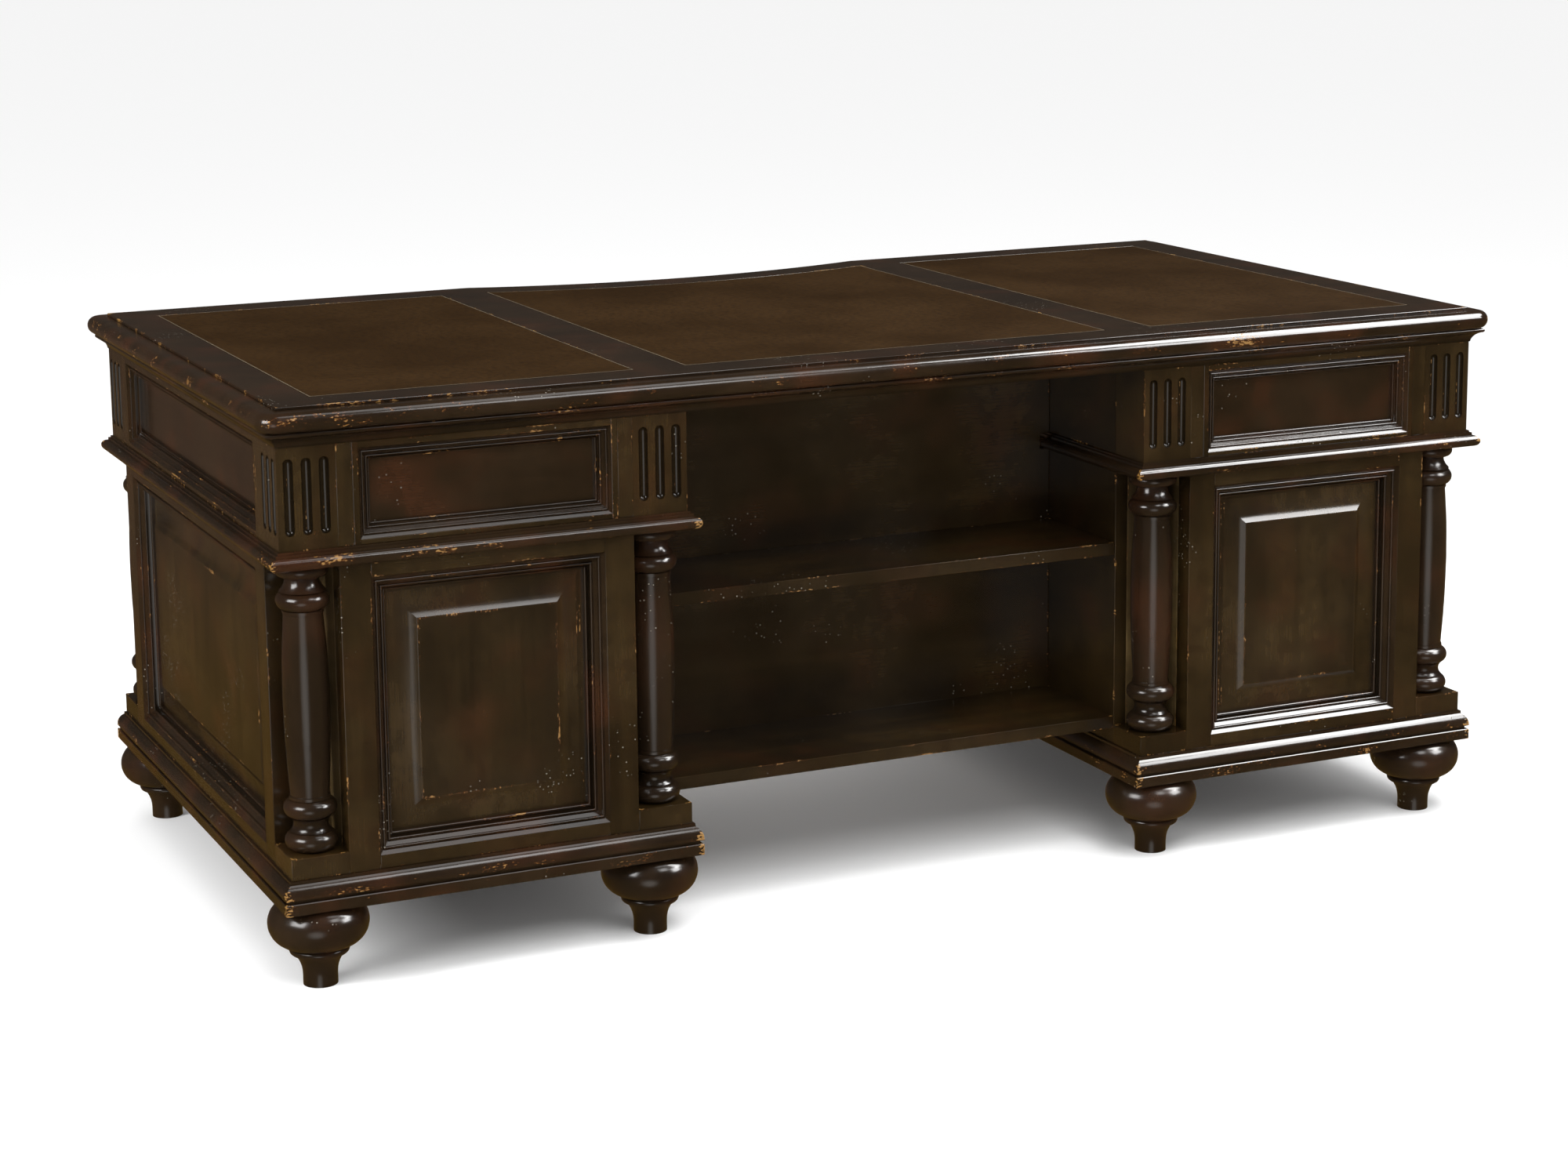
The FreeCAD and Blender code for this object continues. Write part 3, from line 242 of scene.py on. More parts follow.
class Effects:
    """Shader groups that several finishes share.

    Cells are counted per metre. A span names the two values that become 0 and 1.
    """

    FIGURE_SEEDS = 40.0
    SWAY_CELLS = (2.0, 6.0, 6.0)
    SWAY_REACH = (0.0, 12 * MM, 12 * MM)
    STREAK_CELLS = (2.5, 45.0, 45.0)
    FIBRE_CELLS = (25.0, 900.0, 900.0)
    STREAK_SPAN = (0.3, 0.72)
    FIBRE_SPAN = (0.38, 0.66)

    WEAR_SEEDS = 23.0
    PATCH_CELLS = (14.0, 32.0, 32.0)
    GRIT_CELLS = (180.0, 420.0, 420.0)
    GRIT_SHARE = 0.7
    EDGE_SHARE = 0.3
    FLECK_SHARE = 0.47
    UNWORN_LEVEL = 1.42
    WEAR_STEP = -0.15
    GRIT_SPAN = (0.36, 0.66)
    RUBBED_SPAN = (0.0, 0.06)
    THIN_SPAN = (-0.07, 0.02)

    EDGE_SPAN = (4.5 * MM, 0.3 * MM)
    RIM_SPAN = (55 * MM, -5 * MM)
    CORNER_SPAN = (13 * MM, 1 * MM)

    MARK_SEEDS = 31.0
    DENT_CELLS = 165.0
    DENTED_SHARE = 0.5
    CLUSTER_CELLS = 8.0
    SCRATCH_CELLS = (14.0, 420.0, 300.0)
    SCRATCHED_CELLS = 11.0
    CLUSTER_SPAN = (0.6, 0.64)
    DENT_SPAN = (0.26, 0.08)
    DENT_GLINT_SPAN = (0.2, 0.14)
    SCRATCH_SPAN = (0.74, 0.78)
    SCRATCHED_SPAN = (0.66, 0.72)

    CLOUD_CELLS = 5.5
    SPECK_CELLS = 130.0
    PEBBLE_CELLS = 520.0
    CLOUD_SPAN = (0.3, 0.7)
    SPECK_SPAN = (0.44, 0.68)
    PEBBLE_SPAN = (0.0, 0.22)

    def __init__(self) -> None:
        """Build each group once."""
        self.figure = self._figure()
        self.rubbing = self._rubbing()
        self.borders = self._borders()
        self.marks = self._marks()
        self.hide = self._hide()

    @staticmethod
    def _start(
        name: str, inputs: Sequence[tuple], outputs: Sequence[tuple]
    ) -> tuple[Wiring, bpy.types.bpy_prop_collection, bpy.types.Node]:
        """Open a new group.

        Args:
            name: Name of the group.
            inputs: Pairs of input name and kind.
            outputs: Pairs of output name and kind.

        Returns:
            The wiring, the input sockets by name and the output node.
        """
        tree = bpy.data.node_groups.new(name, "ShaderNodeTree")
        for way, sockets in (("INPUT", inputs), ("OUTPUT", outputs)):
            for label, kind in sockets:
                tree.interface.new_socket(label, in_out=way, socket_type="NodeSocket" + kind)
        enter = tree.nodes.new("NodeGroupInput")
        leave = tree.nodes.new("NodeGroupOutput")
        return Wiring(tree), enter.outputs, leave

    def _figure(self) -> bpy.types.NodeTree:
        """Timber figure: broad streaks and fine fibres."""
        inputs = [("Grain", "Vector"), ("Board", "Float")]
        outputs = [("Streaks", "Float"), ("Fibres", "Float")]
        wiring, enter, leave = self._start("timber_figure", inputs, outputs)
        seed = wiring.math("MULTIPLY", enter["Board"], self.FIGURE_SEEDS)
        sway = wiring.noise(wiring.stretch(enter["Grain"], self.SWAY_CELLS), 1.0, 1.0, seed)
        bent = wiring.node("VectorMath", operation="MULTIPLY_ADD")
        wiring.plug(bent.inputs[0], sway)
        bent.inputs[1].default_value = self.SWAY_REACH
        wiring.plug(bent.inputs[2], enter["Grain"])
        streaks = wiring.noise(wiring.stretch(bent.outputs[0], self.STREAK_CELLS), 1.0, 4.0, seed)
        fibres = wiring.noise(wiring.stretch(bent.outputs[0], self.FIBRE_CELLS), 1.0, 2.0, seed)
        wiring.plug(leave.inputs["Streaks"], wiring.span(streaks, *self.STREAK_SPAN))
        wiring.plug(leave.inputs["Fibres"], wiring.span(fibres, *self.FIBRE_SPAN))
        return wiring.tree

    def _rubbing(self) -> bpy.types.NodeTree:
        """Rubbed-through places: ragged spots that follow the arrises."""
        inputs = [("Grain", "Vector")]
        inputs += [(name, "Float") for name in ("Board", "Edge", "Corner", "Amount")]
        outputs = [("Rubbed", "Float"), ("Thin", "Float")]
        wiring, enter, leave = self._start("rubbed_through", inputs, outputs)
        seed = wiring.math("MULTIPLY", enter["Board"], self.WEAR_SEEDS)
        patches = wiring.noise(wiring.stretch(enter["Grain"], self.PATCH_CELLS), 1.0, 3.0, seed)
        grit = wiring.noise(wiring.stretch(enter["Grain"], self.GRIT_CELLS), 1.0, 3.0, seed)
        ready = wiring.math("MULTIPLY_ADD", grit, self.GRIT_SHARE, patches)
        ready = wiring.math("MULTIPLY_ADD", enter["Edge"], self.EDGE_SHARE, ready)
        flecks = wiring.math("MULTIPLY", enter["Corner"], wiring.span(grit, *self.GRIT_SPAN))
        ready = wiring.math("MULTIPLY_ADD", flecks, self.FLECK_SHARE, ready)
        level = wiring.math("MULTIPLY_ADD", enter["Amount"], self.WEAR_STEP, self.UNWORN_LEVEL)
        ready = wiring.math("SUBTRACT", ready, level)
        wiring.plug(leave.inputs["Rubbed"], wiring.span(ready, *self.RUBBED_SPAN))
        wiring.plug(leave.inputs["Thin"], wiring.span(ready, *self.THIN_SPAN))
        return wiring.tree

    def _borders(self) -> bpy.types.NodeTree:
        """How near a point is to the edges, and to the corners, of the box between two given points."""
        inputs = [("Vector", "Vector"), ("Low", "Vector"), ("High", "Vector")]
        outputs = [("Edge", "Float"), ("Rim", "Float"), ("Corner", "Float")]
        wiring, enter, leave = self._start("border_distance", inputs, outputs)
        gaps = wiring.node("VectorMath", operation="MINIMUM")
        for socket, ends in zip(gaps.inputs, (("Vector", "Low"), ("High", "Vector"))):
            side = wiring.node("VectorMath", operation="SUBTRACT")
            for slot, name in zip(side.inputs, ends):
                wiring.plug(slot, enter[name])
            wiring.plug(socket, side.outputs[0])
        apart = wiring.node("SeparateXYZ", {"Vector": gaps.outputs[0]})
        nearest = wiring.math("MINIMUM", apart.outputs[0], apart.outputs[1])
        nearest = wiring.math("MINIMUM", nearest, apart.outputs[2])
        corner = wiring.math("MAXIMUM", apart.outputs[0], apart.outputs[1])
        wiring.plug(leave.inputs["Edge"], wiring.span(nearest, *self.EDGE_SPAN))
        wiring.plug(leave.inputs["Rim"], wiring.span(nearest, *self.RIM_SPAN))
        wiring.plug(leave.inputs["Corner"], wiring.span(corner, *self.CORNER_SPAN))
        return wiring.tree

    def _marks(self) -> bpy.types.NodeTree:
        """Clusters of pin-head dents and short scratches, and the dents' rims, where a pale highlight is
        painted.
        """
        inputs = [("Vector", "Vector"), ("Board", "Float")]
        outputs = [("Dents", "Float"), ("GlintRims", "Float"), ("Scratches", "Float")]
        wiring, enter, leave = self._start("distress_marks", inputs, outputs)
        seed = wiring.math("MULTIPLY", enter["Board"], self.MARK_SEEDS)
        plugs = {"Vector": enter["Vector"], "Scale": self.DENT_CELLS}
        cells = wiring.node("TexVoronoi", plugs, feature="F1")
        tint = wiring.node("SeparateColor", {"Color": cells.outputs["Color"]})
        chosen = wiring.math("GREATER_THAN", tint.outputs[0], self.DENTED_SHARE)
        cluster = wiring.noise(enter["Vector"], self.CLUSTER_CELLS, 2.0, seed)
        spots = wiring.math("MULTIPLY", chosen, wiring.span(cluster, *self.CLUSTER_SPAN))
        dents = wiring.math("MULTIPLY", wiring.span(cells.outputs["Distance"], *self.DENT_SPAN), spots)
        # Rims of the dents: where a pale colour is painted on as a highlight.
        glint_rims = wiring.math("MULTIPLY", wiring.span(cells.outputs["Distance"], *self.DENT_GLINT_SPAN), spots)
        lines = wiring.noise(wiring.stretch(enter["Vector"], self.SCRATCH_CELLS), 1.0, 1.0, seed)
        rare = wiring.noise(enter["Vector"], self.SCRATCHED_CELLS, 1.0, seed)
        rare = wiring.span(rare, *self.SCRATCHED_SPAN)
        scratches = wiring.math("MULTIPLY", wiring.span(lines, *self.SCRATCH_SPAN), rare)
        wiring.plug(leave.inputs["Dents"], dents)
        wiring.plug(leave.inputs["GlintRims"], glint_rims)
        wiring.plug(leave.inputs["Scratches"], scratches)
        return wiring.tree

    def _hide(self) -> bpy.types.NodeTree:
        """Leather: pebbled grain and cloudy tone."""
        outputs = [("Clouds", "Float"), ("Pebble", "Float"), ("Specks", "Float")]
        wiring, enter, leave = self._start("leather_hide", [("Vector", "Vector")], outputs)
        clouds = wiring.noise(enter["Vector"], self.CLOUD_CELLS, 4.0)
        fine = wiring.noise(enter["Vector"], self.SPECK_CELLS, 4.0)
        plugs = {"Vector": enter["Vector"], "Scale": self.PEBBLE_CELLS}
        cells = wiring.node("TexVoronoi", plugs, feature="DISTANCE_TO_EDGE")
        wiring.plug(leave.inputs["Clouds"], wiring.span(clouds, *self.CLOUD_SPAN))
        wiring.plug(leave.inputs["Pebble"], wiring.span(cells.outputs["Distance"], *self.PEBBLE_SPAN))
        wiring.plug(leave.inputs["Specks"], wiring.span(fine, *self.SPECK_SPAN))
        return wiring.tree


def blank_material(name: str) -> tuple[bpy.types.Material, Wiring, bpy.types.Node]:
    """New material with an empty tree but for its shader and output.

    Args:
        name: Name of the material.

    Returns:
        The material, its wiring and its Principled shader.
    """
    material = bpy.data.materials.new(name)
    material.use_nodes = True
    material.node_tree.nodes.clear()
    wiring = Wiring(material.node_tree)
    shader = wiring.node("BsdfPrincipled")
    leave = wiring.node("OutputMaterial")
    wiring.plug(leave.inputs["Surface"], shader.outputs[0])
    return material, wiring, shader


def place_group(wiring: Wiring, tree: bpy.types.NodeTree, plugs: dict[str, Plug]) -> bpy.types.Node:
    """Put a shared shader group in a material.

    Args:
        wiring: The material's wiring.
        tree: The group.
        plugs: Values or sockets for the group's inputs.

    Returns:
        The group node.
    """
    item = wiring.node("Group", node_tree=tree)
    for name, plug in plugs.items():
        wiring.plug(item.inputs[name], plug)
    return item


def join_flats(work: bmesh.types.BMesh) -> None:
    """Join the facets of each flat face."""
    bmesh.ops.dissolve_limit(
        work, angle_limit=FLAT_TURN, use_dissolve_boundaries=False,
        verts=work.verts[:], edges=work.edges[:], delimit={"NORMAL"}
    )


def place_mesh(name: str, work: bmesh.types.BMesh, material: bpy.types.Material) -> bpy.types.Object:
    """Turn a working mesh into an object at the origin.

    Args:
        name: Name of the object and of its mesh.
        work: Working mesh, freed here.
        material: Finish.

    Returns:
        The object.
    """
    mesh = bpy.data.meshes.new(name)
    work.to_mesh(mesh)
    work.free()
    mesh.materials.append(material)
    item = bpy.data.objects.new(name, mesh)
    bpy.context.scene.collection.objects.link(item)
    return item


@dataclass(frozen=True)
class LacquerFinish:
    """Dark lacquer over brown timber, rubbed through on its arrises, darkened in its hollows with dark wax
    and painted shade, and with pale painted highlights on the rims of its dents.
    """

    BLOTCH_CELLS: ClassVar[float] = 5.0
    RUDDY_CELLS: ClassVar[float] = 12.0
    MOTTLE_CELLS: ClassVar[float] = 48.0
    RIPPLE_CELLS: ClassVar[float] = 24.0
    STREAK_SHARE: ClassVar[float] = 0.3
    BLOTCH_SHARE: ClassVar[float] = 0.7
    MOTTLE_SHARE: ClassVar[float] = 0.4
    FIBRE_SHARE: ClassVar[float] = 0.25
    THIN_SHARE: ClassVar[float] = 0.75
    SCRATCH_SHARE: ClassVar[float] = 0.5
    BLOTCH_HAZE: ClassVar[float] = 0.06
    RUBBED_HAZE: ClassVar[float] = 0.3
    FIBRE_RELIEF: ClassVar[float] = -0.06
    SCRATCH_RELIEF: ClassVar[float] = -0.3
    RIPPLE_RELIEF: ClassVar[float] = 1.2
    BUMP_STRENGTH: ClassVar[float] = 0.3
    BUMP_DEPTH: ClassVar[float] = 0.6 * MM
    BLOTCH_SPAN: ClassVar[Span] = (0.34, 0.68)
    RUDDY_SPAN: ClassVar[Span] = (0.46, 0.7)
    MOTTLE_SPAN: ClassVar[Span] = (0.42, 0.68)

    name: str
    deep: Colour = (0.008, 0.0047, 0.0018)
    warm: Colour = (0.039, 0.0223, 0.0063)
    russet: Colour = (0.039, 0.014, 0.0043)
    thin: Colour = (0.055, 0.018, 0.005)
    bare: Colour = (0.22, 0.112, 0.022)
    # Pale colour painted on the rims of dents as a highlight.
    glint: Colour = (0.14, 0.128, 0.105)
    flush: float = 0.45
    amount: float = 1.0
    gloss: float = 0.16
    rim: float = 0.0
    # How far hollows are darkened: dark wax and painted shade.
    hollow_wax_and_shade: float = 0.75

    def material(self, effects: Effects) -> bpy.types.Material:
        """Wire the finish.

        Args:
            effects: Shared shader groups.

        Returns:
            The material.
        """
        material, wiring, shader = blank_material(self.name)
        grain, low, high = (wiring.attribute(name, "Vector") for name in ("grain", "low", "high"))
        board, crest = (wiring.attribute(name, "Fac") for name in ("board", "crest"))
        place = wiring.node("TexCoord").outputs["Object"]
        figure = place_group(wiring, effects.figure, {"Grain": grain, "Board": board})
        marks = place_group(wiring, effects.marks, {"Vector": place, "Board": board})
        borders = place_group(wiring, effects.borders, {"Vector": place, "Low": low, "High": high})
        edge = wiring.math("MAXIMUM", crest, borders.outputs["Edge"])
        plugs = {"Grain": grain, "Board": board, "Edge": edge, "Corner": borders.outputs["Corner"]}
        rubbing = place_group(wiring, effects.rubbing, {**plugs, "Amount": self.amount})
        blotch = wiring.span(wiring.noise(place, self.BLOTCH_CELLS, 5.0, board), *self.BLOTCH_SPAN)
        ruddy = wiring.span(wiring.noise(place, self.RUDDY_CELLS, 4.0, board), *self.RUDDY_SPAN)
        mottle = wiring.span(wiring.noise(place, self.MOTTLE_CELLS, 5.0, board), *self.MOTTLE_SPAN)
        ripple = wiring.noise(place, self.RIPPLE_CELLS, 2.0, board)
        # Hollows (negative crest) are darkened towards near-black: dark wax and painted shade.
        hollow = wiring.math("MINIMUM", crest, 0.0)
        tone = wiring.math("MULTIPLY", figure.outputs["Streaks"], self.STREAK_SHARE)
        tone = wiring.math("MULTIPLY_ADD", blotch, self.BLOTCH_SHARE, tone)
        colour = wiring.blend(tone, self.deep, self.warm)
        colour = wiring.tint(colour, self.russet, ruddy, self.flush)
        colour = wiring.tint(colour, self.deep, mottle, self.MOTTLE_SHARE)
        colour = wiring.tint(colour, self.deep, figure.outputs["Fibres"], self.FIBRE_SHARE)
        colour = wiring.tint(colour, self.deep, borders.outputs["Rim"], self.rim)
        colour = wiring.tint(colour, HOLLOW_WAX_AND_SHADE, hollow, -self.hollow_wax_and_shade)
        colour = wiring.tint(colour, self.thin, rubbing.outputs["Thin"], self.THIN_SHARE)
        colour = wiring.blend(rubbing.outputs["Rubbed"], colour, self.bare)
        colour = wiring.tint(colour, self.thin, marks.outputs["Scratches"], self.SCRATCH_SHARE)
        # Painted highlight: the rims of the dents take the pale glint colour.
        colour = wiring.blend(marks.outputs["GlintRims"], colour, self.glint)
        wiring.plug(shader.inputs["Base Color"], colour)
        rough = wiring.math("MULTIPLY_ADD", blotch, self.BLOTCH_HAZE, self.gloss)
        rough = wiring.math("MULTIPLY_ADD", rubbing.outputs["Rubbed"], self.RUBBED_HAZE, rough)
        wiring.plug(shader.inputs["Roughness"], rough)
        relief = wiring.math("MULTIPLY", figure.outputs["Fibres"], self.FIBRE_RELIEF)
        relief = wiring.math("SUBTRACT", relief, marks.outputs["Dents"])
        relief = wiring.math("MULTIPLY_ADD", marks.outputs["Scratches"], self.SCRATCH_RELIEF, relief)
        relief = wiring.math("MULTIPLY_ADD", ripple, self.RIPPLE_RELIEF, relief)
        plugs = {"Height": relief, "Strength": self.BUMP_STRENGTH, "Distance": self.BUMP_DEPTH}
        bump = wiring.node("Bump", plugs)
        wiring.plug(shader.inputs["Normal"], bump.outputs[0])
        return material


@dataclass(frozen=True)
class LeatherFinish:
    """Brown writing leather."""

    name: str
    dark: Colour = (0.0205, 0.0094, 0.0021)
    light: Colour = (0.0312, 0.0147, 0.0034)
    speck: Colour = (0.0115, 0.0056, 0.0018)
    specked: float = 0.6
    rough: float = 0.5
    cloud_haze: float = 0.12
    sheen: float = 0.06
    bump_strength: float = 0.3
    bump_depth: float = 0.2 * MM

    def material(self, effects: Effects) -> bpy.types.Material:
        """Wire the finish.

        Args:
            effects: Shared shader groups.

        Returns:
            The material.
        """
        material, wiring, shader = blank_material(self.name)
        place = wiring.node("TexCoord").outputs["Object"]
        hide = place_group(wiring, effects.hide, {"Vector": place})
        colour = wiring.blend(hide.outputs["Clouds"], self.dark, self.light)
        colour = wiring.tint(colour, self.speck, hide.outputs["Specks"], self.specked)
        wiring.plug(shader.inputs["Base Color"], colour)
        rough = wiring.math("MULTIPLY_ADD", hide.outputs["Clouds"], self.cloud_haze, self.rough)
        wiring.plug(shader.inputs["Roughness"], rough)
        shader.inputs["Specular IOR Level"].default_value = self.sheen
        pebble = hide.outputs["Pebble"]
        plugs = {"Height": pebble, "Strength": self.bump_strength, "Distance": self.bump_depth}
        bump = wiring.node("Bump", plugs)
        wiring.plug(shader.inputs["Normal"], bump.outputs[0])
        return material


@dataclass(frozen=True)
class PaleWoodFinish:
    """Clear-finished hardwood of the drawer boxes and runners."""

    name: str
    light: Colour = (0.46, 0.3, 0.16)
    dark: Colour = (0.3, 0.175, 0.085)
    fibrous: float = 0.35
    rough: float = 0.42
    fibre_haze: float = 0.1
    bump_strength: float = 0.2
    bump_depth: float = 0.2 * MM

    def material(self, effects: Effects) -> bpy.types.Material:
        """Wire the finish.

        Args:
            effects: Shared shader groups.

        Returns:
            The material.
        """
        material, wiring, shader = blank_material(self.name)
        grain, board = wiring.attribute("grain", "Vector"), wiring.attribute("board", "Fac")
        figure = place_group(wiring, effects.figure, {"Grain": grain, "Board": board})
        fibres = figure.outputs["Fibres"]
        colour = wiring.blend(figure.outputs["Streaks"], self.light, self.dark)
        wiring.plug(shader.inputs["Base Color"], wiring.tint(colour, self.dark, fibres, self.fibrous))
        rough = wiring.math("MULTIPLY_ADD", fibres, self.fibre_haze, self.rough)
        wiring.plug(shader.inputs["Roughness"], rough)
        plugs = {"Height": fibres, "Strength": self.bump_strength, "Distance": self.bump_depth}
        bump = wiring.node("Bump", plugs)
        wiring.plug(shader.inputs["Normal"], bump.outputs[0])
        return material


@dataclass(frozen=True)
class MetalFinish:
    """Aged metal: bright where it is handled, dark where it isn't."""

    name: str
    bright: Colour
    dull: Colour
    rough: float = 0.3
    metallic: float = 1.0
    tarnish_cells: float = 90.0
    tarnish_haze: float = 0.22
    tarnish_span: Span = (0.35, 0.7)

    def material(self) -> bpy.types.Material:
        """Wire the finish."""
        material, wiring, shader = blank_material(self.name)
        place = wiring.node("TexCoord").outputs["Object"]
        tarnish = wiring.span(wiring.noise(place, self.tarnish_cells, 5.0), *self.tarnish_span)
        wiring.plug(shader.inputs["Base Color"], wiring.blend(tarnish, self.bright, self.dull))
        rough = wiring.math("MULTIPLY_ADD", tarnish, self.tarnish_haze, self.rough)
        wiring.plug(shader.inputs["Roughness"], rough)
        shader.inputs["Metallic"].default_value = self.metallic
        return material


@dataclass
class Finishes:
    """All the finishes of the desk, wired once."""

    effects: Effects = field(default_factory=Effects)
    frame: bpy.types.Material = field(init=False)
    panel: bpy.types.Material = field(init=False)
    lining_painted_light: bpy.types.Material = field(init=False)
    moulding: bpy.types.Material = field(init=False)
    border: bpy.types.Material = field(init=False)
    turned: bpy.types.Material = field(init=False)
    leather: bpy.types.Material = field(init=False)
    pale: bpy.types.Material = field(init=False)
    brass: bpy.types.Material = field(init=False)
    edge_glint: bpy.types.Material = field(init=False)
    steel: bpy.types.Material = field(init=False)

    def __post_init__(self) -> None:
        """Wire each finish."""
        effects = self.effects
        dusky = {
            "deep": (0.0078, 0.0046, 0.0024),
            "warm": (0.021, 0.0118, 0.0056),
            "russet": (0.04, 0.0135, 0.0056),
        }
        # Lighter copy of the frame lacquer for the linings of the column notches: painted light on boards
        # that the notches keep in shade.
        light = {"deep": (0.045, 0.03, 0.014), "warm": (0.19, 0.124, 0.05)}
        panel = LacquerFinish("panel_lacquer", flush=0.6, amount=0.8, gloss=0.21, rim=0.55)
        moulding = LacquerFinish("moulding_lacquer", **dusky, flush=0.75, amount=0.5, gloss=0.12)
        turned = LacquerFinish("turned_lacquer", **dusky, flush=0.5, amount=-0.6, gloss=0.17)
        # Pale, non-metal line at each leather's edge: a painted highlight, wired like the aged metals.
        edge_glint = MetalFinish("leather_edge_painted_glint", (0.14, 0.115, 0.076), (0.07, 0.056, 0.036), rough=0.4, metallic=0.0)
        self.frame = LacquerFinish("frame_lacquer", amount=0.75, rim=0.3).material(effects)
        self.panel = panel.material(effects)
        self.lining_painted_light = LacquerFinish("lining_lacquer_painted_light", **light, amount=0.8).material(effects)
        self.moulding = moulding.material(effects)
        self.border = LacquerFinish("border_lacquer", **dusky, amount=0.95).material(effects)
        self.turned = turned.material(effects)
        self.leather = LeatherFinish("writing_leather").material(effects)
        self.pale = PaleWoodFinish("drawer_hardwood").material(effects)
        self.brass = MetalFinish("aged_brass", (0.5, 0.33, 0.12), (0.12, 0.075, 0.03)).material()
        self.edge_glint = edge_glint.material()
        self.steel = MetalFinish("pin_steel", (0.6, 0.6, 0.6), (0.35, 0.35, 0.35)).material()


@dataclass
class Dresser:
    """Turns a CAD node into a finished piece: one clean shell per solid, with eased arrises and grain."""

    CREST_BEND: ClassVar[Span] = (0.05, 0.1)
    HOLLOW_BEND: ClassVar[Span] = (0.04, 0.08)

    arris: float = 0.9 * MM
    weld: float = 0.002 * MM
    shortest: float = 12 * MM
    far: float = 9.0
    steps_per_mm: int = 1000
    axis_aligned: float = 0.999
    spread: float = 4.0
    draw: random.Random = field(default_factory=lambda: random.Random(SEED))

    def dress(
        self, node: str, body: str, slot: str, material: bpy.types.Material, form: Form,
        along: Along = Along.LONGEST, arris: Optional[float] = None, rounding: float = 0.0
    ) -> None:
        """Copy a node, ease its arrises and give it its finish.

        Args:
            node: Name of the CAD node.
            body: Body that the piece rides on.
            slot: Material slot in the record; not used.
            material: Finish.
            form: Boards or moulded surfaces.
            along: Axis of the grain.
            arris: Width of the eased arrises, if not the usual one.
            rounding: How far the corners of a ringed moulding stay inside its box.
        """
        source = bmesh.new()
        source.from_mesh(frame["nodes"][node].data)
        source.faces.index_update()
        outer = None
        if form is Form.RINGED:
            low, high = self._box(source.verts)
            outer = low + Vector([rounding] * 3), high - Vector([rounding] * 3)
        whole = bmesh.new()
        self._layers(whole)
        for faces in self._solids(source):
            shell = self._shell(source, faces)
            self._ease(shell, form, self.arris if arris is None else arris)
            self._lay_borders(shell, form, outer)
            self._lay_grain(shell, along)
            part = bpy.data.meshes.new("part")
            shell.to_mesh(part)
            shell.free()
            whole.from_mesh(part)
            bpy.data.meshes.remove(part)
        source.free()
        piece = place_mesh(node + "_finished", whole, material)
        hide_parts(node)
        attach(piece, body)
        log.info("%s: %d faces", piece.name, len(piece.data.polygons))

    @staticmethod
    def _layers(work: bmesh.types.BMesh) -> None:
        """Add the attributes that the finishes read."""
        work.verts.layers.float_vector.new("grain")
        work.faces.layers.float.new("board")
        work.faces.layers.float.new("crest")
        work.faces.layers.float_vector.new("low")
        work.faces.layers.float_vector.new("high")

    @staticmethod
    def _box(verts: Iterable[bmesh.types.BMVert]) -> tuple[Vector, Vector]:
        """Lowest and highest corner of a set of points."""
        spots = [vert.co for vert in verts]
        low = Vector([min(spot[axis] for spot in spots) for axis in range(3)])
        high = Vector([max(spot[axis] for spot in spots) for axis in range(3)])
        return low, high

    def _lay_borders(
        self, shell: bmesh.types.BMesh, form: Form, outer: Optional[tuple[Vector, Vector]]
    ) -> None:
        """Give each face the box whose edges or corners get rubbed.

        Args:
            shell: One solid.
            form: Boards wear at the edges of each flat face, ringed mouldings at their outer corners.
            outer: Box of the whole moulding.
        """
        low_layer = shell.faces.layers.float_vector["low"]
        high_layer = shell.faces.layers.float_vector["high"]
        for face in shell.faces:
            low, high = Vector([-self.far] * 3), Vector([self.far] * 3)
            flat = [axis for axis in range(3) if abs(face.normal[axis]) > self.axis_aligned]
            if outer:
                low.xy, high.xy = outer[0].xy, outer[1].xy
            elif flat and form is Form.BOARDS:
                low, high = self._box(face.verts)
                low[flat[0]], high[flat[0]] = -self.far, self.far
            face[low_layer], face[high_layer] = low, high

    def _solids(self, source: bmesh.types.BMesh) -> Iterable[list[bmesh.types.BMFace]]:
        """Split loose triangles in closed shells.

        Args:
            source: Mesh whose solids follow one another.

        Returns:
            The faces of each solid.
        """
        faces: list[bmesh.types.BMFace] = []
        loose: set[frozenset] = set()
        for face in source.faces:
            faces.append(face)
            spots = [
                tuple(round(value / MM * self.steps_per_mm) for value in vert.co) for vert in face.verts
            ]
            for start, end in zip(spots, spots[1:] + spots[:1]):
                loose ^= {frozenset((start, end))}
            if not loose:
                yield faces
                faces = []
        if faces:
            yield faces

    def _shell(self, source: bmesh.types.BMesh, faces: list[bmesh.types.BMFace]) -> bmesh.types.BMesh:
        """Copy one solid, weld it and join its flat faces.

        Args:
            source: Mesh of the node.
            faces: Faces of the solid.

        Returns:
            The solid's own mesh.
        """
        kept = {face.index for face in faces}
        shell = source.copy()
        shell.faces.index_update()
        others = [face for face in shell.faces if face.index not in kept]
        bmesh.ops.delete(shell, geom=others, context="FACES")
        bmesh.ops.remove_doubles(shell, verts=shell.verts[:], dist=self.weld)
        join_flats(shell)
        self._layers(shell)
        return shell

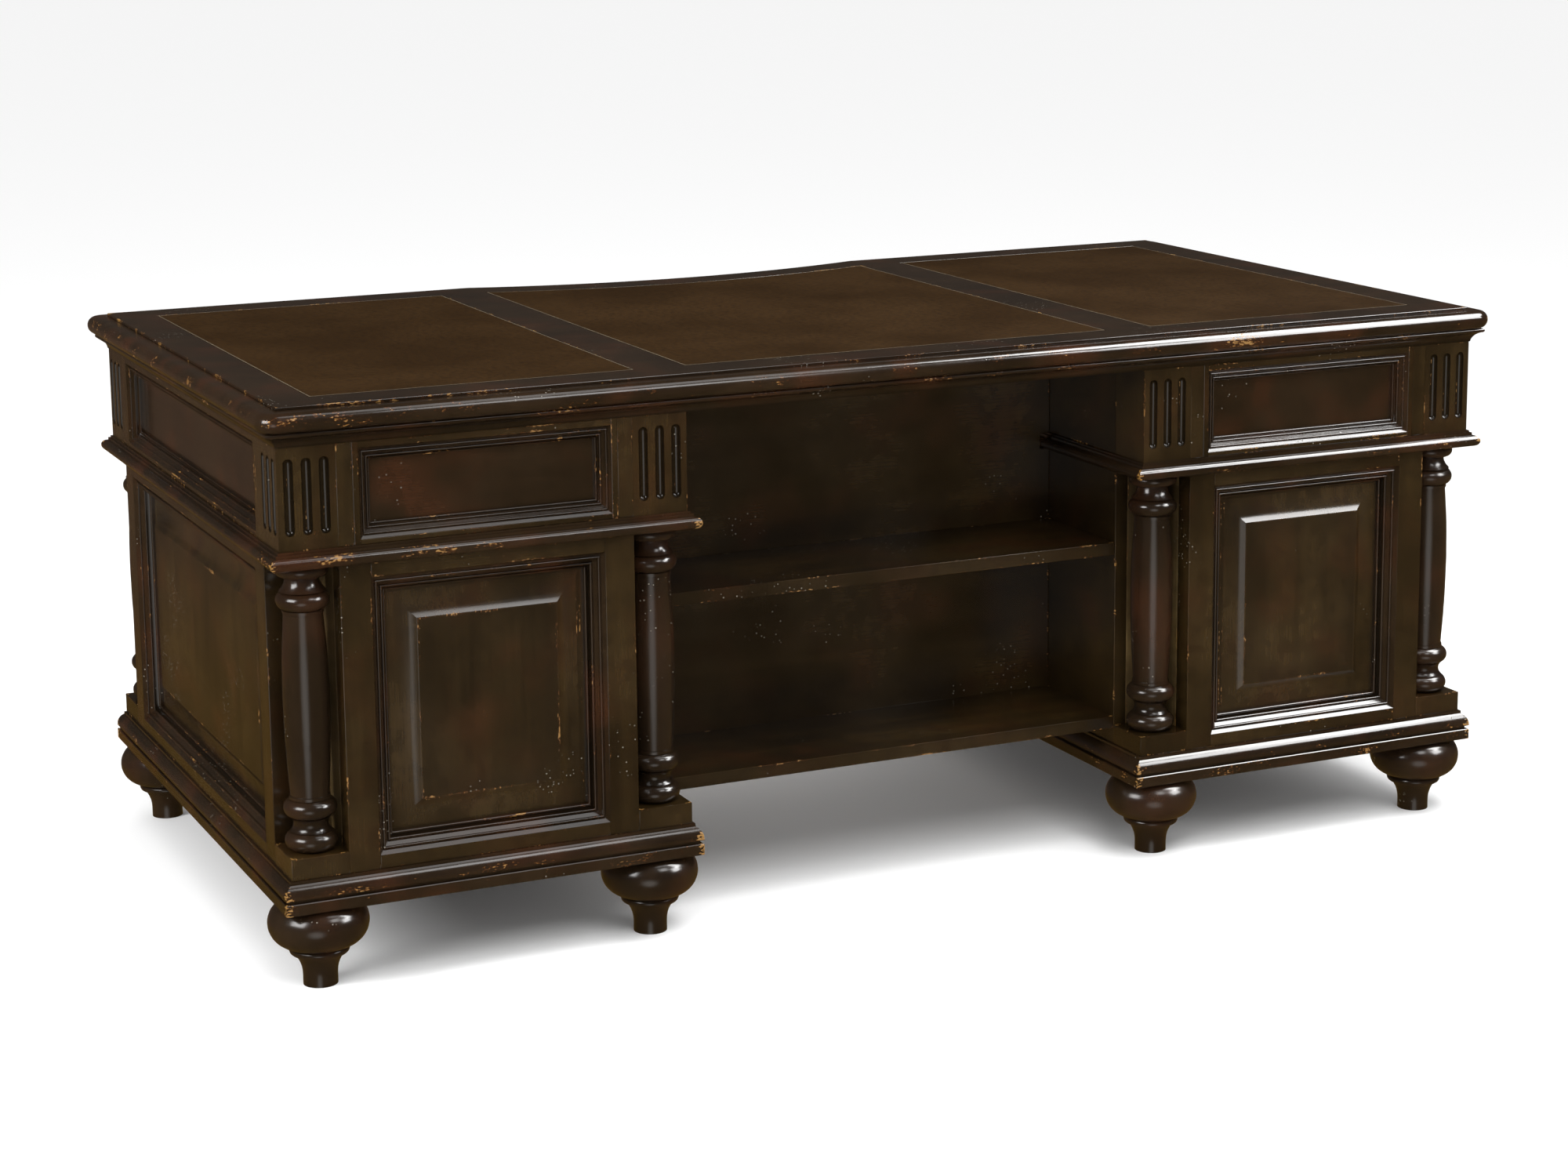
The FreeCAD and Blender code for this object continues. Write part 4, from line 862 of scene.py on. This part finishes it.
    def _ease(self, shell: bmesh.types.BMesh, form: Form, arris: float) -> None:
        """Round the outer arrises, mark where a hand rubs and set the shading.

        Args:
            shell: One solid.
            form: Boards or moulded surfaces.
            arris: Width of the eased arrises.
        """
        crest = shell.faces.layers.float["crest"]
        eased: set[bmesh.types.BMFace] = set()
        if form is Form.BOARDS and arris > 0:
            sharp = [
                edge for edge in shell.edges
                if len(edge.link_faces) == 2
                and edge.calc_face_angle_signed() > SHARP_TURN
                and edge.calc_length() > self.shortest
            ]
            result = bmesh.ops.bevel(
                shell, geom=sharp, offset=arris, offset_type="OFFSET", segments=2, profile=0.5,
                affect="EDGES", clamp_overlap=True, material=-1
            )
            eased = set(result["faces"])
        shell.normal_update()
        for face in shell.faces:
            face.smooth = True
            face[crest] = 1.0 if face in eased else self._crest(face)
        for edge in shell.edges:
            if len(edge.link_faces) != 2:
                edge.smooth = False
                continue
            first, second = edge.link_faces
            border = (first in eased) != (second in eased)
            edge.smooth = not border and edge.calc_face_angle() < SMOOTH_TURN

    @classmethod
    def _crest(cls, face: bmesh.types.BMFace) -> float:
        """How strongly a face bulges or is hollowed.

        Args:
            face: Face of a moulded, turned or fluted surface.

        Returns:
            -1 in tight hollows, 0 on flats, 1 on tight crests.
        """
        bulge = hollow = 0.0
        area = face.calc_area()
        for edge in face.edges:
            if len(edge.link_faces) == 2 and area > 0:
                width = area / edge.calc_length()
                angle = edge.calc_face_angle_signed()
                if abs(angle) < SMOOTH_TURN:
                    bulge = max(bulge, angle / width * MM)
                    hollow = max(hollow, -angle / width * MM)
        return cls._ramp(bulge, *cls.CREST_BEND) or -cls._ramp(hollow, *cls.HOLLOW_BEND)

    @staticmethod
    def _ramp(value: float, start: float, width: float) -> float:
        """Share of a ramp that a value has climbed, from 0 to 1."""
        return min(max((value - start) / width, 0.0), 1.0)

    def _lay_grain(self, shell: bmesh.types.BMesh, along: Along) -> None:
        """Give a solid its own board coordinates, with the first one along the grain.

        Args:
            shell: One solid.
            along: Axis of the grain.
        """
        low, high = self._box(shell.verts)
        size = list(high - low)
        order = along.value or list(Along)[size.index(max(size))].value
        shift = Vector([self.draw.uniform(-self.spread, self.spread) for _ in range(3)])
        tone = self.draw.random()
        grain = shell.verts.layers.float_vector["grain"]
        board = shell.faces.layers.float["board"]
        for vert in shell.verts:
            vert[grain] = Vector([vert.co[axis] for axis in order]) + shift
        for face in shell.faces:
            face[board] = tone


@dataclass
class Top:
    """Writing top: edging, field, leathers, pale lines painted as highlights on the leathers' edges, and the
    moulding below.
    """

    finishes: Finishes
    dresser: Dresser
    edge_round: float = 4 * MM
    field_arris: float = 0.8 * MM
    glint_inset: float = 0.8 * MM
    glint_width: float = 1.3 * MM
    glint_rise: float = 0.06 * MM
    level_slack: float = 0.1 * MM

    def build(self) -> None:
        """Finish the top's nodes and add the pale lines painted as highlights on the leathers' edges."""
        finishes, dress = self.finishes, self.dresser.dress
        dress(
            "top_edging", "desk", "dark_wood", finishes.moulding, Form.RINGED, Along.X,
            rounding=self.edge_round
        )
        dress("top_core", "desk", "dark_wood", finishes.frame, Form.BOARDS, Along.X)
        dress("top_field", "desk", "dark_wood", finishes.border, Form.BOARDS, Along.X, self.field_arris)
        dress("cornice_moulding", "desk", "dark_wood", finishes.moulding, Form.MOULDED)
        dress("top_subframe", "desk", "dark_wood", finishes.frame, Form.BOARDS)
        for side in ("left", "centre", "right"):
            dress(f"leather_{side}", "desk", "leather", finishes.leather, Form.BOARDS, Along.X)
            self._edge_painted_glint(f"leather_{side}")

    def _edge_painted_glint(self, leather: str) -> None:
        """Thin pale line just inside a leather's edge: a painted highlight where the edge catches the light.

        Args:
            leather: CAD node of the leather.
        """
        work = bmesh.new()
        work.from_mesh(frame["nodes"][leather].data)
        bmesh.ops.remove_doubles(work, verts=work.verts[:], dist=self.dresser.weld)
        level = max(vert.co.z for vert in work.verts)
        floor = level - self.level_slack
        lower = [face for face in work.faces if min(vert.co.z for vert in face.verts) < floor]
        bmesh.ops.delete(work, geom=lower, context="FACES")
        join_flats(work)
        line = inner = work.faces[:]
        for thickness in (self.glint_inset, self.glint_width):
            line = bmesh.ops.inset_region(
                work, faces=inner, thickness=thickness, use_boundary=True, use_even_offset=True
            )["faces"]
            inner = [face for face in inner if face.is_valid and face not in line]
        others = [face for face in work.faces if face not in line]
        bmesh.ops.delete(work, geom=others, context="FACES")
        raised = bmesh.ops.extrude_face_region(work, geom=work.faces[:])["geom"]
        moved = [part for part in raised if isinstance(part, bmesh.types.BMVert)]
        bmesh.ops.translate(work, verts=moved, vec=Vector((0, 0, self.glint_rise)))
        bmesh.ops.recalc_face_normals(work, faces=work.faces[:])
        piece = place_mesh(leather + "_edge_painted_glint", work, self.finishes.edge_glint)
        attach(piece, "desk")
        log.info("%s: %d faces", piece.name, len(piece.data.polygons))


@dataclass
class Pedestal:
    """One pedestal's frames, panels and mouldings."""

    side: str
    finishes: Finishes
    dresser: Dresser

    def build(self) -> None:
        """Finish the pedestal's nodes."""
        for name in ("base_frame", "frieze_frames", "panel_frames"):
            self._dress(name, self.finishes.frame, Form.BOARDS)
        # Notch linings take the lighter lacquer: painted light in the shaded notches.
        self._dress("corner_posts", self.finishes.lining_painted_light, Form.BOARDS)
        self._dress("inner_side", self.finishes.panel, Form.BOARDS)
        for name in ("frieze_mouldings", "panel_mouldings"):
            self._dress(name, self.finishes.moulding, Form.MOULDED)
        for name in ("waist_moulding", "base_moulding"):
            self._dress(name, self.finishes.moulding, Form.RINGED)
        self._dress("frieze_panels", self.finishes.moulding, Form.BOARDS)
        self._dress("raised_panels", self.finishes.panel, Form.BOARDS, Along.Z)
        runners = f"{self.side}_drawer_runners"
        self.dresser.dress(runners, "desk", "drawer_wood", self.finishes.pale, Form.BOARDS)

    def _dress(
        self, name: str, material: bpy.types.Material, form: Form, along: Along = Along.LONGEST
    ) -> None:
        """Finish one lacquered node of this side."""
        self.dresser.dress(f"{self.side}_{name}", "desk", "dark_wood", material, form, along)


@dataclass
class Carcase:
    """What both pedestals share: turned work, blocks, boards and the bookcase between them."""

    finishes: Finishes
    dresser: Dresser

    def build(self) -> None:
        """Finish the shared nodes."""
        finishes, dress = self.finishes, self.dresser.dress
        for name in ("columns", "feet"):
            dress(name, "desk", "dark_wood", finishes.turned, Form.MOULDED, Along.Z)
        for name in ("fluted_blocks", "plinth_blocks"):
            dress(name, "desk", "dark_wood", finishes.frame, Form.BOARDS, Along.Z)
        for name in (
            "waist_boards", "bottom_boards", "bookcase_back", "bookcase_bottom_shelf", "bookcase_shelf"
        ):
            dress(name, "desk", "dark_wood", finishes.panel, Form.BOARDS)
        dress("shelf_pins", "desk", "pin_steel", finishes.steel, Form.MOULDED)
        dress("centre_drawer_runners", "desk", "drawer_wood", finishes.pale, Form.BOARDS)


@dataclass
class Drawer:
    """One drawer: front, box and knobs, riding on its own body."""

    body: str
    finishes: Finishes
    dresser: Dresser

    def build(self) -> None:
        """Finish the drawer's nodes."""
        body, finishes, dress = self.body, self.finishes, self.dresser.dress
        dress(f"{body}_front", body, "dark_wood", finishes.frame, Form.BOARDS, Along.X)
        dress(f"{body}_box", body, "drawer_wood", finishes.pale, Form.BOARDS)
        dress(f"{body}_knobs", body, "knob_brass", finishes.brass, Form.MOULDED)


@dataclass(frozen=True)
class SoftBox:
    """One studio lamp, with its two sides in metres and its power in watts."""

    name: str
    spot: Point
    aim: Point
    size: tuple[float, float]
    power: float
    role: LampRole

    def build(self) -> None:
        """Hang the lamp and turn it to the point it shines at."""
        data = bpy.data.lights.new(self.name, "AREA")
        data.shape = "RECTANGLE"
        data.size, data.size_y = self.size
        data.energy = self.power
        lamp = bpy.data.objects.new(self.name, data)
        lamp.location = self.spot
        lamp.visible_camera = False
        lamp.visible_glossy = self.role is LampRole.SHINE
        lamp.visible_diffuse = self.role is LampRole.FILL
        lamp.rotation_euler = (Vector(self.aim) - Vector(self.spot)).to_track_quat("-Z", "Y").to_euler()
        bpy.context.scene.collection.objects.link(lamp)


LAMPS = (
    SoftBox("overhead_right", (2.35, -1.0, 3.0), (1.6, -0.6, 0.4), (1.7, 1.8), 210.0, LampRole.SHINE),
    SoftBox("overhead_centre", (0.4, -1.0, 3.1), (0.2, -0.5, 0.4), (1.5, 1.2), 15.0, LampRole.SHINE),
    SoftBox("left_high", (-3.4, -1.4, 2.0), (-0.8, -0.3, 0.4), (1.8, 1.3), 92.0, LampRole.SHINE),
    SoftBox("front_right", (0.5, -2.5, 2.7), (-0.3, -0.4, 0.4), (1.0, 0.8), 18.0, LampRole.SHINE),
    SoftBox("right_high", (2.7, -2.6, 2.6), (0.7, -0.5, 0.5), (1.5, 1.3), 115.0, LampRole.SHINE),
    SoftBox("overhead_fill", (0.9, -1.2, 3.4), (0.3, -0.3, 0.4), (2.6, 2.0), 110.0, LampRole.FILL),
    SoftBox("left_fill", (-3.6, -0.6, 1.7), (-0.9, 0.0, 0.4), (1.2, 1.2), 95.0, LampRole.FILL),
    SoftBox("front_fill", (-0.6, -3.8, 3.8), (-0.2, 0.0, 0.3), (3.0, 2.0), 95.0, LampRole.FILL),
)


@dataclass
class Studio:
    """Pale floor, soft lights and the camera at the photograph's angle."""

    eye: Point = (-1.9295, -4.2144, 1.4441)
    yaw: float = 24.621
    pitch: float = 10.547
    roll: float = -0.576
    focal_pixels: float = 4064.2
    image_width: float = 2000.0
    shift: float = -0.1
    sensor: float = 36.0
    sight: float = 200.0
    floor_size: float = 60.0
    floor_colour: Colour = (0.94, 0.94, 0.94)
    floor_rough: float = 0.9
    floor_sheen: float = 0.1
    daylight: float = 1.0
    room_floor: Colour = (0.15, 0.09, 0.028)
    room_walls: Colour = (0.045, 0.038, 0.033)
    back_low: Colour = (0.13, 0.074, 0.016)
    back_high: Colour = (0.1, 0.063, 0.044)
    floor_line: Span = (-0.12, 0.02)
    back_line: Span = (-0.27, -0.2)
    back_top: Span = (-0.1, 0.05)
    back_depth: Span = (0.2, 0.6)
    glow: Colour = (1.5, 1.45, 1.38)
    glow_way: Point = (-0.36, -0.9, -0.21)
    glow_edge: float = 0.88
    glow_falloff: float = 3.0

    def build(self) -> None:
        """Set the floor, the lights and the camera."""
        self._floor()
        self._sky()
        for lamp in LAMPS:
            lamp.build()
        self._camera()

    def _floor(self) -> None:
        """Wide pale floor."""
        work = bmesh.new()
        bmesh.ops.create_grid(work, x_segments=1, y_segments=1, size=self.floor_size / 2)
        material, wiring, shader = blank_material("pale_floor")
        wiring.plug(shader.inputs["Base Color"], self.floor_colour)
        shader.inputs["Roughness"].default_value = self.floor_rough
        shader.inputs["Specular IOR Level"].default_value = self.floor_sheen
        floor = place_mesh("studio_floor", work, material)
        floor.visible_glossy = False
        floor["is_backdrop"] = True

    def _sky(self) -> None:
        """Even light all round, white to the camera. Reflections see a dim room and one bright place."""
        world = bpy.data.worlds.new("studio_light")
        bpy.context.scene.world = world
        world.use_nodes = True
        world.node_tree.nodes.clear()
        wiring = Wiring(world.node_tree)
        way = wiring.node("TexCoord").outputs["Generated"]
        apart = wiring.node("SeparateXYZ", {"Vector": way})
        depth, height = apart.outputs[1], apart.outputs[2]
        front = wiring.blend(wiring.span(height, *self.floor_line), self.room_floor, self.room_walls)
        back = wiring.blend(wiring.span(height, *self.back_line), self.back_low, self.back_high)
        back = wiring.blend(wiring.span(height, *self.back_top), back, self.room_walls)
        room = wiring.blend(wiring.span(depth, *self.back_depth), front, back)
        spot = wiring.node("VectorMath", operation="DOT_PRODUCT")
        wiring.plug(spot.inputs[0], way)
        spot.inputs[1].default_value = Vector(self.glow_way).normalized()
        bright = wiring.span(spot.outputs["Value"], self.glow_edge, 1.0)
        room = wiring.blend(wiring.math("POWER", bright, self.glow_falloff), room, self.glow)
        path = wiring.node("LightPath")
        light = wiring.node("Background", {"Color": WHITE, "Strength": self.daylight}).outputs[0]
        for ray, colour in (("Is Glossy Ray", room), ("Is Camera Ray", WHITE)):
            other = wiring.node("Background", {"Color": colour, "Strength": 1.0})
            mix = wiring.node("MixShader")
            for socket, plug in zip(mix.inputs, (path.outputs[ray], light, other.outputs[0])):
                wiring.plug(socket, plug)
            light = mix.outputs[0]
        leave = wiring.node("OutputWorld")
        wiring.plug(leave.inputs["Surface"], light)

    def _camera(self) -> None:
        """Camera at the photograph's angle."""
        data = bpy.data.cameras.new("view")
        data.sensor_width = self.sensor
        data.lens = self.focal_pixels / self.image_width * self.sensor
        data.shift_y = self.shift
        data.clip_end = self.sight
        camera = bpy.data.objects.new("view", data)
        turn = Matrix.Rotation(math.radians(-self.yaw), 4, "Z")
        turn = turn @ Matrix.Rotation(math.radians(90 - self.pitch), 4, "X")
        turn = turn @ Matrix.Rotation(math.radians(self.roll), 4, "Z")
        camera.matrix_world = Matrix.Translation(Vector(self.eye)) @ turn
        bpy.context.scene.collection.objects.link(camera)
        bpy.context.scene.camera = camera
        bpy.context.scene.view_settings.view_transform = "Standard"


def save_sizes() -> None:
    """Work out the CAD box and the dressed desk's box as plain lists."""
    boxes = {"cad": CAD_BOX, "visual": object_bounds()}
    plain = {
        name: [[float(value) for value in corner] for corner in box] for name, box in boxes.items()
    }


def main() -> None:
    """Dress the desk, piece by piece, and light it."""
    logging.basicConfig(level=logging.INFO, format="%(name)s %(message)s")
    finishes = Finishes()
    dresser = Dresser()
    Top(finishes, dresser).build()
    Carcase(finishes, dresser).build()
    for side in ("left", "right"):
        Pedestal(side, finishes, dresser).build()
    for joint in frame["joints"]:
        Drawer(joint["child"], finishes, dresser).build()
    Studio().build()
    save_sizes()


if __name__ == "__main__":
    main()
